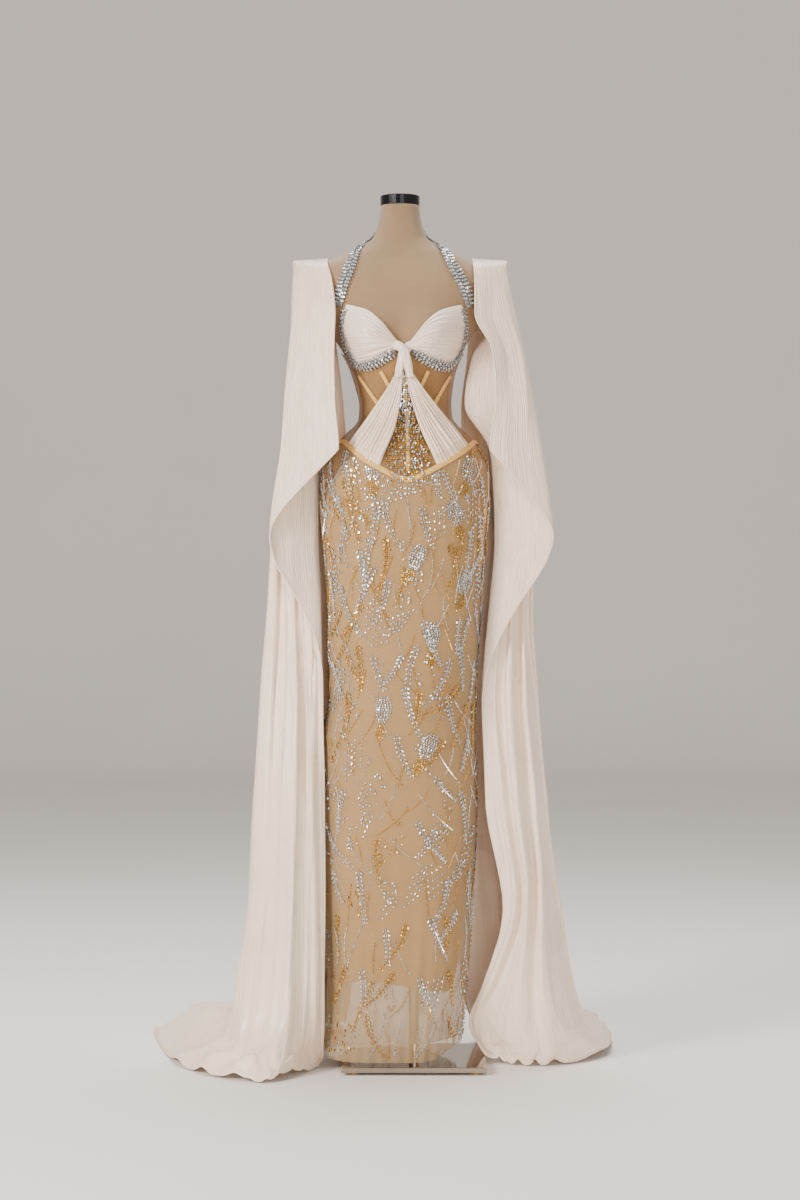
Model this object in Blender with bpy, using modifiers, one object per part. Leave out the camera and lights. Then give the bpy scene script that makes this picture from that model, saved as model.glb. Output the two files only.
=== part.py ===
"""A halter gown with floor-length cape sleeves, worn by a limbless dress form on a square base plate.

Metres, +Z up, the gown faces -Y. The origin is on the floor, under the axis of the stand's pole.
The gown and the form are modelled about the gown's own centre plane, and hang under one empty that
sets that plane beside the pole. Left and right are the wearer's: the wearer's left is at +X.
"""

import math

import bmesh
import bpy
import numpy as np

# Driving dimensions of the stand.
GOWN_CENTRE_X = -0.026
PLATE_SIZE = 0.270
PLATE_THICKNESS = 0.010
PLATE_EDGE = 0.001
PAD_HEIGHT = 0.005
PAD_RADIUS = 0.009
PAD_INSET = 0.022
POLE_RADIUS = 0.0095
GAP = 0.0003
NECK_CAP_HEIGHT = 0.019
NECK_CAP_RADIUS = 0.0375
NECK_CAP_EDGE = 0.0015
NECK_CAP_BACK = 0.0015

# Thickness of each cloth wall.
MESH_WALL = 0.0012
SATIN_WALL = 0.0016
CUP_WALL = 0.0020
TRIM_WALL = 0.0014

# How far each layer's middle surface stands out from the corset's.
BONING_OUT = 0.0024
BINDING_OUT = 0.0020
STREAMER_OUT = 0.0079
STREAMER_TOP_OUT = 0.0017

SECTION_POWER = 2.2

# The dress form: one row for each horizontal section, from the underside to the top of the neck.
FORM_COLUMNS = ("z", "centre", "half_width", "front", "back")
FORM_ROWS = (
    (0.800, 0.010, 0.112, 0.088, 0.092),
    (0.900, 0.010, 0.126, 0.100, 0.108),
    (1.000, 0.010, 0.139, 0.105, 0.118),
    (1.070, 0.010, 0.146, 0.105, 0.120),
    (1.127, 0.009, 0.143, 0.100, 0.114),
    (1.160, 0.011, 0.124, 0.090, 0.102),
    (1.200, 0.011, 0.096, 0.077, 0.085),
    (1.226, 0.011, 0.083, 0.072, 0.073),
    (1.250, 0.010, 0.082, 0.071, 0.071),
    (1.280, 0.008, 0.086, 0.075, 0.073),
    (1.310, 0.006, 0.093, 0.082, 0.077),
    (1.340, 0.005, 0.107, 0.088, 0.083),
    (1.365, 0.004, 0.122, 0.092, 0.088),
    (1.390, 0.003, 0.141, 0.093, 0.091),
    (1.410, 0.002, 0.160, 0.092, 0.092),
    (1.435, 0.000, 0.183, 0.089, 0.091),
    (1.460, 0.000, 0.191, 0.085, 0.089),
    (1.480, 0.000, 0.189, 0.079, 0.085),
    (1.500, 0.000, 0.178, 0.071, 0.079),
    (1.514, 0.000, 0.158, 0.065, 0.072),
    (1.526, 0.000, 0.130, 0.060, 0.066),
    (1.538, 0.000, 0.100, 0.056, 0.061),
    (1.550, 0.000, 0.073, 0.051, 0.056),
    (1.565, 0.000, 0.053, 0.047, 0.052),
    (1.585, 0.000, 0.044, 0.043, 0.049),
    (1.605, 0.000, 0.039, 0.039, 0.045),
    (1.628, 0.000, 0.0365, 0.0365, 0.0395),
)
BUST_APEX_X = 0.062
BUST_APEX_Z = 1.378
BUST_WIDTH = 0.044
BUST_HEIGHT = 0.044
BUST_DEPTH = 0.026

# The outside of the corset and the skirt: one row for each horizontal section, from the hem up.
GOWN_COLUMNS = ("z", "centre", "half_width", "front", "back")
GOWN_ROWS = (
    (0.022, -0.020, 0.1310, 0.112, 0.114),
    (0.120, -0.010, 0.1320, 0.112, 0.114),
    (0.215, -0.006, 0.1370, 0.112, 0.114),
    (0.310, -0.006, 0.1425, 0.112, 0.115),
    (0.500, -0.003, 0.1490, 0.113, 0.117),
    (0.614, -0.0025, 0.1460, 0.114, 0.119),
    (0.690, 0.0045, 0.1400, 0.114, 0.120),
    (0.804, 0.006, 0.1435, 0.115, 0.122),
    (0.880, 0.009, 0.1455, 0.116, 0.125),
    (0.975, 0.0095, 0.1530, 0.118, 0.131),
    (1.070, 0.0095, 0.1600, 0.117, 0.133),
    (1.127, 0.0085, 0.1590, 0.112, 0.128),
    (1.1745, 0.013, 0.1350, 0.100, 0.113),
    (1.1955, 0.012, 0.1150, 0.091, 0.100),
    (1.2125, 0.012, 0.0970, 0.084, 0.088),
    (1.226, 0.0105, 0.0890, 0.079, 0.080),
    (1.2505, 0.0100, 0.0875, 0.077, 0.077),
    (1.279, 0.0080, 0.0920, 0.080, 0.078),
    (1.3075, 0.0060, 0.0985, 0.087, 0.082),
    (1.330, 0.0055, 0.1070, 0.093, 0.087),
    (1.345, 0.0050, 0.1150, 0.098, 0.090),
    (1.365, 0.0045, 0.1280, 0.102, 0.094),
)

# The pale lining, which ends above the hem and narrows there.
LINING_INSIDE = 0.0035
LINING_COLUMNS = ("z", "narrowed")
LINING_ROWS = (
    (0.155, 0.019),
    (0.230, 0.012),
    (0.400, 0.008),
    (0.650, 0.004),
    (0.850, 0.000),
    (1.180, 0.000),
)

# The V seam between corset and skirt, and the corset's upper edge.
SEAM_SIDE_Z = 1.177
SEAM_FRONT_Z = 1.104
SEAM_BACK_Z = 1.140
SEAM_ROUNDING = 0.016
SEAM_SPAN = 0.122
SEAM_READ_Z = 1.150
SEAM_CENTRE_Z = 1.120
HEM_Z = 0.020
HEM_LIFT = 0.030
FLUTES = 9
FLUTE_DEPTH = 0.0035
FLUTES_START_Z = 0.75
CORSET_TOP_COLUMNS = ("offset", "z")
CORSET_TOP_ROWS = (
    (0.000, 1.338),
    (0.018, 1.331),
    (0.045, 1.315),
    (0.075, 1.309),
    (0.094, 1.316),
    (0.104, 1.332),
    (0.116, 1.352),
)
CORSET_BACK_TOP_Z = 1.345

# Numbers of points round and up each lofted piece.
FORM_SIDES = 28
CORSET_SIDES = 36
CORSET_LEVELS = 9
SKIRT_SIDES = 40
SKIRT_LEVELS = 12
LINING_SIDES = 28
LINING_LEVELS = 9
BINDING_POINTS = 44
BONING_POINTS = 7
STRAP_POINTS = 34
ROUND_SIDES = 20

# The cups: their upper and lower edges, from the outer end to the knot. The offset is from BUST_CENTRE.
BUST_CENTRE = 0.0075
CUP_COLUMNS = ("along", "upper_offset", "upper_z", "lower_offset", "lower_z")
CUP_ROWS = (
    (0.00, 0.1075, 1.432, 0.0900, 1.3185),
    (0.35, 0.0720, 1.421, 0.0635, 1.3235),
    (0.62, 0.0430, 1.399, 0.0400, 1.3335),
    (0.82, 0.0245, 1.376, 0.0240, 1.3430),
    (1.00, 0.0118, 1.361, 0.0118, 1.3470),
)
CUP_SIDE_BULGE = 0.017
CUP_OUT = 0.0065
CUP_OVER_CORSET = 0.0045
CORSET_LEAVES_Z = 1.338
CUP_LEAVES_SLOPE = 0.7
CUP_PUFF = 0.0080
CUP_PLEATS = 6
CUP_PLEAT_DEPTH = 0.0009

# The pleated streamers, from the knot down to the V seam. Offsets are from the gown's centre line.
STREAMER_COLUMNS = ("along", "outer_offset", "outer_z", "inner_offset", "inner_z")
STREAMER_ROWS = (
    (0.00, 0.0120, 1.3090, 0.0020, 1.3060),
    (0.30, 0.0330, 1.2760, 0.0090, 1.2610),
    (0.62, 0.0640, 1.2350, 0.0220, 1.2070),
    (1.00, 0.1110, 1.1745, 0.0500, 1.1400),
)
STREAMER_PLEATS = 7
STREAMER_BRIDGE = 0.010
STREAMER_PLEAT_DEPTH = 0.0013
CENTRE_COLUMNS = ("z", "x")
CENTRE_ROWS = (
    (1.100, 0.0160),
    (1.200, 0.0140),
    (1.300, 0.0085),
    (1.420, 0.0060),
)

# The boning channels in the corset: ends given as offset from the centre line and height.
BONING_WIDTH = 0.0075
BONING_COLUMNS = ("name", "top_offset", "top_z", "bottom_offset", "bottom_z")
BONING_ROWS = (
    ("boning_right_outer", -0.0850, 1.3020, -0.0200, 1.1950),
    ("boning_right_inner", -0.0440, 1.3080, -0.0140, 1.2500),
    ("boning_centre", 0.0000, 1.2950, 0.0000, 1.1200),
    ("boning_left_inner", 0.0440, 1.3080, 0.0140, 1.2500),
    ("boning_left_outer", 0.0850, 1.3020, 0.0200, 1.1950),
)
BINDING_WIDTH = 0.0100

# The knot that gathers both cups.
KNOT_TOP_Z = 1.3560
KNOT_BOTTOM_Z = 1.3075
KNOT_RADIUS = 0.0100
KNOT_LOBE = 0.20
KNOT_SEAT_Z = 1.335
KNOT_OUT = 0.0165
KNOT_TWIST = math.radians(200)

# The halter strap: up each side of the chest by its offset from the centre, then round the neck by its turn.
STRAP_OUT = 0.0030
STRAP_LEAN = 0.0075
STRAP_LEAN_SPAN = 0.09
STRAP_COLUMNS = ("offset", "z", "width")
STRAP_ROWS = (
    (0.1225, 1.4300, 0.016),
    (0.1180, 1.4500, 0.018),
    (0.1120, 1.4700, 0.019),
    (0.1015, 1.4930, 0.019),
    (0.0900, 1.5200, 0.017),
    (0.0800, 1.5400, 0.015),
    (0.0685, 1.5515, 0.012),
)
NAPE_COLUMNS = ("turn", "z", "width")
NAPE_ROWS = (
    (88.0, 1.5640, 0.010),
    (60.0, 1.5830, 0.008),
    (30.0, 1.5960, 0.008),
    (0.0, 1.6010, 0.008),
)
CUP_TRIM_WIDTH = 0.013
CUP_TRIM_OUT = 0.0029


# The cape sleeves. Each is one sheet that hangs in folds, named here from its front edge to its back edge.
SLEEVE_FOLDS = ("edge", "front_turn", "inner_turn", "low_edge", "roll", "back_turn", "tail", "back_edge")
SLEEVE_STEPS = (9, 4, 5, 5, 5, 5, 4)
SLEEVE_UPPER_LEVELS = (0, 1, 2, 3, 3.5, 4, 4.5, 5, 5.5, 6, 6.5, 7, 7.6)
SLEEVE_LOWER_LEVELS = (8.3, 9, 10, 11, 12, 12.6, 13.2, 13.8, 14.4, 15)
SLEEVE_LEVELS = SLEEVE_UPPER_LEVELS + SLEEVE_LOWER_LEVELS
SLEEVE_WAVES_PER_FOLD = 1.45
SLEEVE_WAVE_DEPTH = 0.009
SLEEVE_WAVES_FULL_LEVEL = 9
SLEEVE_WAVES_FROM_FOLD = 2.6
SLEEVE_SETTLE_Z = 0.104
RIDGE_ENDS = ((0.139, 1.5278), (0.203, 1.5240))

# A row for each section, from the shoulder to the floor: its height, then each fold's reach from the centre
# line, or its depth. A fold that ends above the floor has its last rows only to guide its neighbours.
SLEEVE_SECTIONS = {
    1: {
        "x": (
            (1.5278, 0.139, 0.203, 0.203, 0.203, 0.203, 0.203, 0.172, 0.139),
            (1.5146, 0.139, 0.201, 0.203, 0.203, 0.202, 0.200, 0.175, 0.139),
            (1.480, 0.141, 0.205, 0.199, 0.202, 0.205, 0.206, 0.178, 0.139),
            (1.415, 0.141, 0.219, 0.188, 0.198, 0.212, 0.220, 0.185, 0.135),
            (1.340, 0.174, 0.235, 0.136, 0.170, 0.210, 0.232, 0.190, 0.130),
            (1.250, 0.180, 0.252, 0.122, 0.165, 0.215, 0.245, 0.195, 0.120),
            (1.160, 0.168, 0.266, 0.170, 0.200, 0.232, 0.252, 0.195, 0.120),
            (1.000, 0.168, 0.286, 0.181, 0.205, 0.235, 0.258, 0.195, 0.120),
            (0.860, 0.168, 0.262, 0.170, 0.195, 0.225, 0.250, 0.195, 0.115),
            (0.700, 0.168, 0.240, 0.158, 0.180, 0.225, 0.262, 0.200, 0.110),
            (0.500, 0.168, 0.240, 0.160, 0.192, 0.236, 0.278, 0.210, 0.110),
            (0.318, 0.168, 0.240, 0.185, 0.214, 0.250, 0.303, 0.225, 0.110),
            (0.180, 0.168, 0.240, 0.160, 0.178, 0.248, 0.325, 0.250, 0.115),
            (0.080, 0.168, 0.240, 0.125, 0.138, 0.252, 0.352, 0.300, 0.130),
            (0.024, 0.168, 0.240, 0.150, 0.158, 0.258, 0.384, 0.370, 0.160),
            (0.0035, 0.168, 0.240, 0.170, 0.184, 0.267, 0.402, 0.420, 0.180),
        ),
        "y": (
            (1.5278, 0.000, 0.000, 0.000, 0.000, 0.000, 0.000, 0.000, 0.000),
            (1.5146, -0.041, -0.022, 0.000, 0.006, 0.012, 0.022, 0.044, 0.047),
            (1.480, -0.070, -0.034, -0.005, 0.010, 0.022, 0.036, 0.066, 0.070),
            (1.415, -0.096, -0.050, -0.012, 0.008, 0.028, 0.046, 0.078, 0.088),
            (1.340, -0.104, -0.058, -0.018, 0.002, 0.028, 0.050, 0.088, 0.105),
            (1.250, -0.108, -0.064, -0.020, 0.000, 0.028, 0.053, 0.098, 0.118),
            (1.160, -0.115, -0.070, -0.018, 0.000, 0.030, 0.055, 0.108, 0.135),
            (1.000, -0.118, -0.074, -0.018, 0.000, 0.030, 0.055, 0.115, 0.148),
            (0.860, -0.118, -0.076, -0.020, -0.008, 0.018, 0.050, 0.118, 0.150),
            (0.700, -0.118, -0.078, -0.030, -0.022, -0.012, 0.040, 0.118, 0.150),
            (0.500, -0.118, -0.078, -0.040, -0.048, -0.042, 0.036, 0.122, 0.152),
            (0.318, -0.118, -0.078, -0.040, -0.052, -0.048, 0.032, 0.128, 0.158),
            (0.180, -0.118, -0.078, -0.020, -0.030, -0.052, 0.028, 0.145, 0.172),
            (0.080, -0.118, -0.078, 0.000, -0.005, -0.052, 0.034, 0.175, 0.205),
            (0.024, -0.118, -0.078, 0.005, 0.000, -0.046, 0.060, 0.222, 0.270),
            (0.0035, -0.118, -0.078, 0.000, -0.009, -0.037, 0.090, 0.255, 0.320),
        ),
    },
    -1: {
        "x": (
            (1.5278, 0.139, 0.203, 0.203, 0.203, 0.203, 0.203, 0.172, 0.139),
            (1.5146, 0.138, 0.198, 0.203, 0.203, 0.202, 0.200, 0.175, 0.139),
            (1.480, 0.129, 0.202, 0.199, 0.200, 0.202, 0.204, 0.178, 0.137),
            (1.415, 0.122, 0.204, 0.188, 0.192, 0.200, 0.207, 0.183, 0.130),
            (1.340, 0.124, 0.209, 0.150, 0.170, 0.192, 0.212, 0.185, 0.120),
            (1.250, 0.122, 0.217, 0.150, 0.168, 0.192, 0.219, 0.188, 0.110),
            (1.160, 0.115, 0.223, 0.158, 0.175, 0.200, 0.226, 0.190, 0.105),
            (1.000, 0.115, 0.244, 0.158, 0.176, 0.210, 0.246, 0.200, 0.100),
            (0.860, 0.115, 0.226, 0.149, 0.168, 0.205, 0.252, 0.210, 0.095),
            (0.700, 0.115, 0.200, 0.147, 0.158, 0.200, 0.264, 0.215, 0.090),
            (0.500, 0.115, 0.200, 0.140, 0.154, 0.200, 0.279, 0.225, 0.090),
            (0.318, 0.115, 0.200, 0.137, 0.151, 0.205, 0.288, 0.235, 0.090),
            (0.180, 0.115, 0.200, 0.136, 0.149, 0.212, 0.308, 0.260, 0.095),
            (0.080, 0.115, 0.200, 0.136, 0.149, 0.222, 0.325, 0.320, 0.100),
            (0.024, 0.115, 0.200, 0.140, 0.150, 0.236, 0.362, 0.420, 0.110),
            (0.0035, 0.115, 0.200, 0.147, 0.150, 0.247, 0.405, 0.500, 0.130),
        ),
        "y": (
            (1.5278, 0.000, 0.000, 0.000, 0.000, 0.000, 0.000, 0.000, 0.000),
            (1.5146, -0.041, -0.022, 0.000, 0.006, 0.012, 0.022, 0.044, 0.047),
            (1.480, -0.070, -0.034, -0.005, 0.010, 0.022, 0.036, 0.066, 0.070),
            (1.415, -0.096, -0.050, -0.012, 0.006, 0.025, 0.045, 0.078, 0.088),
            (1.340, -0.104, -0.060, -0.015, 0.003, 0.022, 0.050, 0.088, 0.105),
            (1.250, -0.108, -0.066, -0.018, 0.002, 0.022, 0.053, 0.098, 0.118),
            (1.160, -0.115, -0.070, -0.018, 0.002, 0.022, 0.055, 0.108, 0.135),
            (1.000, -0.118, -0.075, -0.018, 0.000, 0.022, 0.050, 0.115, 0.148),
            (0.860, -0.118, -0.078, -0.030, -0.014, 0.000, 0.030, 0.120, 0.150),
            (0.700, -0.118, -0.080, -0.046, -0.036, -0.046, -0.005, 0.125, 0.150),
            (0.500, -0.118, -0.080, -0.068, -0.078, -0.100, -0.015, 0.135, 0.155),
            (0.318, -0.118, -0.080, -0.072, -0.082, -0.106, -0.022, 0.150, 0.165),
            (0.180, -0.118, -0.080, -0.072, -0.082, -0.116, -0.030, 0.180, 0.190),
            (0.080, -0.118, -0.080, -0.066, -0.076, -0.138, -0.040, 0.230, 0.250),
            (0.024, -0.118, -0.080, -0.050, -0.060, -0.184, -0.052, 0.310, 0.360),
            (0.0035, -0.118, -0.080, -0.030, -0.040, -0.208, -0.062, 0.374, 0.440),
        ),
    },
}

# Where the sheet ends along the folds, as a level counted down through the sections above.
SLEEVE_HEM_COLUMNS = ("fold", "wearer_left", "wearer_right")
SLEEVE_HEM_ROWS = (
    (0.0, 6.0, 6.0),
    (1.0, 7.0, 7.0),
    (2.0, 9.0, 8.8),
    (2.4, 10.7, 10.4),
    (2.6, 11.6, 12.0),
    (2.8, 13.8, 14.0),
    (3.0, 15.0, 15.0),
    (7.0, 15.0, 15.0),
)


def column(columns, rows, name):
    """One named column of a table as an array."""
    return np.array([row[columns.index(name)] for row in rows], float)


def smooth_curve(knots, values, at):
    """A curve through the table's points, whose slope is held between those of its neighbours."""
    knots = np.asarray(knots, float)
    values = np.asarray(values, float)
    at = np.clip(np.asarray(at, float), knots[0], knots[-1])
    steps = np.diff(knots)
    chords = np.diff(values) / steps
    slopes = np.empty_like(values)
    slopes[0], slopes[-1] = chords[0], chords[-1]
    before, after = chords[:-1], chords[1:]
    same_way = before * after > 0
    mean = 2 * before * after / np.where(same_way, before + after, 1.0)
    slopes[1:-1] = np.where(same_way, mean, 0.0)
    index = np.clip(np.searchsorted(knots, at, side="right") - 1, 0, len(steps) - 1)
    t = (at - knots[index]) / steps[index]
    width = steps[index]
    start = (1 + 2 * t) * (1 - t) ** 2 * values[index] + t * (1 - t) ** 2 * width * slopes[index]
    end = t**2 * (3 - 2 * t) * values[index + 1] + t**2 * (t - 1) * width * slopes[index + 1]
    return start + end


def read(columns, rows, name, at):
    """A table's named column at one or more places of its first column."""
    return smooth_curve(column(columns, rows, columns[0]), column(columns, rows, name), at)


def centre_line(z):
    """The x of the gown's centre front at a height: the gown leans a little at the hips."""
    return read(CENTRE_COLUMNS, CENTRE_ROWS, "x", z)


def section(columns, rows, angle, z, out=0.0, inside=None):
    """Points of a rounded section. Angle 0 is the centre back, a quarter turn is the wearer's left."""
    centre = read(columns, rows, "centre", z)
    half = read(columns, rows, "half_width", z) + out
    front = read(columns, rows, "front", z) + out
    back = read(columns, rows, "back", z) + out
    if inside is not None:
        half, front, back = half - inside, front - inside, back - inside
    power = 2 / SECTION_POWER
    side = np.sign(np.sin(angle)) * np.abs(np.sin(angle)) ** power
    depth = np.sign(np.cos(angle)) * np.abs(np.cos(angle)) ** power
    return np.stack([centre + half * side, np.where(depth > 0, back, front) * depth, z + 0 * side], -1)


def front_of(columns, rows, x, z, out=0.0):
    """The depth y of a section's front at a given x."""
    centre = read(columns, rows, "centre", z)
    half = read(columns, rows, "half_width", z)
    share = np.clip(np.abs(x - centre) / half, 0, 0.985)
    return -read(columns, rows, "front", z) * (1 - share**SECTION_POWER) ** (1 / SECTION_POWER) - out


def bust_swell(x, z):
    """How far the form's two plain bust rounds stand out in front."""
    across = (np.abs(x) - BUST_APEX_X) / BUST_WIDTH
    up = (z - BUST_APEX_Z) / BUST_HEIGHT
    return BUST_DEPTH * np.exp(-(across**2) - up**2)


def form_front(x, z, out=0.0):
    """The depth y of the dress form's front, moved out."""
    return front_of(FORM_COLUMNS, FORM_ROWS, x, z, out) - bust_swell(x, z)


def gown_front(x, z, out=0.0):
    """The depth y of the corset's front, moved out."""
    return front_of(GOWN_COLUMNS, GOWN_ROWS, x, z, out)


def seam_height(x, facing_front, centre):
    """The V seam: straight flanks from the sides down to a rounded point."""
    offset = np.sqrt((x - centre) ** 2 + SEAM_ROUNDING**2) - SEAM_ROUNDING
    share = np.clip(offset / SEAM_SPAN, 0, 1)
    low = np.where(facing_front, SEAM_FRONT_Z, SEAM_BACK_Z)
    return low + (SEAM_SIDE_Z - low) * share


def material(name, colour, roughness, metallic=0.0):
    """A Principled finish."""
    made = bpy.data.materials.new(name)
    made.use_nodes = True
    shader = made.node_tree.nodes["Principled BSDF"]
    shader.inputs["Base Color"].default_value = (*colour, 1.0)
    shader.inputs["Roughness"].default_value = roughness
    shader.inputs["Metallic"].default_value = metallic
    return made


def new_object(name, vertices, faces, finish, parent, collection):
    """A mesh object with one material, under its parent, with smooth faces."""
    mesh = bpy.data.meshes.new(name)
    mesh.from_pydata([tuple(v) for v in np.asarray(vertices, float)], [], faces)
    mesh.shade_smooth()
    mesh.materials.append(finish)
    made = bpy.data.objects.new(name, mesh)
    made.parent = parent
    collection.objects.link(made)
    return made


def grid_faces(rows, columns, wrap):
    """Four-sided faces of a grid, joined at its ends where it wraps round."""
    across = columns if wrap else columns - 1
    corner = np.array([0, 1, columns + 1, columns])
    faces = []
    for r in range(rows - 1):
        for c in range(across):
            face = r * columns + c + corner
            if c == columns - 1:
                face[1:3] -= columns
            faces.append(tuple(int(v) for v in face))
    return faces


def tidy_normals(made, weld=0.00005):
    """Joins doubled points and turns all faces the same way."""
    work = bmesh.new()
    work.from_mesh(made.data)
    bmesh.ops.remove_doubles(work, verts=work.verts, dist=weld)
    bmesh.ops.recalc_face_normals(work, faces=work.faces)
    work.to_mesh(made.data)
    work.free()


def wall(name, grid, thickness, finish, parent, collection, wrap=False):
    """A cloth wall: a sheet through the grid's points, with its thickness shared to both sides."""
    rows, columns = grid.shape[:2]
    made = new_object(name, grid.reshape(-1, 3), grid_faces(rows, columns, wrap), finish, parent, collection)
    tidy_normals(made)
    solid = made.modifiers.new("wall", "SOLIDIFY")
    solid.thickness = thickness
    solid.offset = 0.0
    solid.use_even_offset = False
    return made


def loft(name, rings, finish, parent, collection):
    """A closed solid through rings of equal length, with flat ends."""
    rows, columns = rings.shape[:2]
    faces = grid_faces(rows, columns, True)
    faces.append(tuple(range(columns)))
    faces.append(tuple((rows - 1) * columns + c for c in range(columns)))
    made = new_object(name, rings.reshape(-1, 3), faces, finish, parent, collection)
    tidy_normals(made)
    return made


def unit(vectors):
    """Vectors scaled to length one."""
    return vectors / np.maximum(np.linalg.norm(vectors, axis=-1, keepdims=True), 1e-9)


def evened(path, outward, width, count):
    """The same middle line with evenly spaced points."""
    travelled = np.concatenate([[0], np.cumsum(np.linalg.norm(np.diff(path, axis=0), axis=1))])
    at = np.linspace(0, travelled[-1], count)
    values = np.column_stack([path, outward, width])
    found = np.column_stack([smooth_curve(travelled, values[:, n], at) for n in range(7)])
    return found[:, :3], unit(found[:, 3:6]), found[:, 6]


def band(name, path, outward, widths, thickness, finish, parent, collection, closed=False):
    """A flat band along a path: its width lies in the surface and its thickness points outward."""
    if closed:
        along = unit(np.roll(path, -1, 0) - np.roll(path, 1, 0))
    else:
        along = unit(np.gradient(path, axis=0))
    across = unit(np.cross(along, outward))
    out = unit(np.cross(across, along))
    half = across * (np.asarray(widths) / 2)[:, None]
    lift = out * thickness / 2
    rings = np.stack([path - half - lift, path + half - lift, path + half + lift, path - half + lift], 1)
    if not closed:
        return loft(name, rings, finish, parent, collection)
    rows = len(path)
    faces = grid_faces(rows + 1, 4, True)
    faces = [tuple(v % (rows * 4) for v in face) for face in faces]
    made = new_object(name, rings.reshape(-1, 3), faces, finish, parent, collection)
    tidy_normals(made)
    return made


def surface_normals(point_at, first, second, step=0.0015):
    """Outward normals of a surface given as a function of two parameters."""
    one = point_at(first + step, second) - point_at(first - step, second)
    two = point_at(first, second + step) - point_at(first, second - step)
    normal = unit(np.cross(one, two))
    return np.where(normal[:, 1:2] > 0, -normal, normal)


def build_form(parent, collection, finish):
    """The smooth, whole, limbless dress form, closed at the neck and the underside."""
    angle = np.linspace(0, 2 * math.pi, FORM_SIDES, endpoint=False)
    rings = []
    for z in column(FORM_COLUMNS, FORM_ROWS, "z"):
        ring = section(FORM_COLUMNS, FORM_ROWS, angle, z)
        facing = np.clip(-np.cos(angle), 0, 1) ** 0.5
        ring[:, 1] -= bust_swell(ring[:, 0], z) * facing
        rings.append(ring)
    return loft("dress_form", np.array(rings), finish, parent, collection)


def turned(name, radius, low, high, bevel, finish, parent, collection, sides=32, x=0.0, y=0.0):
    """A round solid with softened rims."""
    bpy.ops.mesh.primitive_cylinder_add(vertices=sides, radius=radius, depth=high - low)
    made = bpy.context.object
    made.name = name
    made.data.name = name
    made.parent = parent
    made.location = (x, y, (low + high) / 2)
    if bevel:
        edge = made.modifiers.new("edge", "BEVEL")
        edge.width = bevel
        edge.segments = 2
        edge.limit_method = "ANGLE"
    made.data.shade_smooth()
    made.data.set_sharp_from_angle(angle=math.radians(40))
    made.data.materials.append(finish)
    move_to(made, collection)
    return made


def move_to(made, collection):
    """Puts an object in one collection only."""
    for owner in list(made.users_collection):
        owner.objects.unlink(made)
    collection.objects.link(made)


def build_stand(collection, steel, rubber):
    """The mirror-bright base plate on low pads, and the pole that carries the form."""
    low = PAD_HEIGHT + GAP
    bpy.ops.mesh.primitive_cube_add(size=1)
    plate = bpy.context.object
    plate.name = "base_plate"
    plate.data.name = "base_plate"
    for vertex in plate.data.vertices:
        vertex.co.x *= PLATE_SIZE
        vertex.co.y *= PLATE_SIZE
        vertex.co.z *= PLATE_THICKNESS
    plate.location = (0, 0, low + PLATE_THICKNESS / 2)
    edge = plate.modifiers.new("edge", "BEVEL")
    edge.width = PLATE_EDGE
    edge.segments = 2
    plate.data.materials.append(steel)
    move_to(plate, collection)
    reach = PLATE_SIZE / 2 - PAD_INSET
    places = (("pad_centre", 0, 0), ("pad_1", -1, -1), ("pad_2", 1, -1), ("pad_3", 1, 1), ("pad_4", -1, 1))
    for name, side, end in places:
        x, y = side * reach, end * reach
        turned(name, PAD_RADIUS, 0, PAD_HEIGHT, 0, rubber, None, collection, ROUND_SIDES, x, y)
    bottom = low + PLATE_THICKNESS + GAP
    top = FORM_ROWS[0][0] - GAP
    turned("pole", POLE_RADIUS, bottom, top, 0, steel, None, collection, ROUND_SIDES)


def build_neck_cap(parent, collection, finish):
    """The bright metal cap on the neck."""
    low = FORM_ROWS[-1][0] + GAP
    high = low + NECK_CAP_HEIGHT
    turned("neck_cap", NECK_CAP_RADIUS, low, high, NECK_CAP_EDGE, finish, parent, collection, y=NECK_CAP_BACK)


def build_corset(parent, collection, finish):
    """The sheer corset, from under the cups to the V seam."""
    angle = np.linspace(0, 2 * math.pi, CORSET_SIDES, endpoint=False)
    facing_front = np.cos(angle) < 0
    offset = column(CORSET_TOP_COLUMNS, CORSET_TOP_ROWS, "offset")
    height = column(CORSET_TOP_COLUMNS, CORSET_TOP_ROWS, "z")
    side_point = section(GOWN_COLUMNS, GOWN_ROWS, angle, 1.34)
    top = np.interp(np.abs(side_point[:, 0] - BUST_CENTRE), offset, height)
    back_share = np.clip(np.cos(angle), 0, 1) ** 0.5
    top = np.where(facing_front, top, height[-1] + (CORSET_BACK_TOP_Z - height[-1]) * back_share)
    low_point = section(GOWN_COLUMNS, GOWN_ROWS, angle, SEAM_READ_Z)
    bottom = seam_height(low_point[:, 0], facing_front, centre_line(SEAM_CENTRE_Z)) + GAP
    share = np.linspace(0, 1, CORSET_LEVELS)[:, None]
    z = bottom + (top - bottom) * share
    grid = section(GOWN_COLUMNS, GOWN_ROWS, angle + 0 * z, z)
    return wall("corset", grid, MESH_WALL, finish, parent, collection, True)


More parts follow.
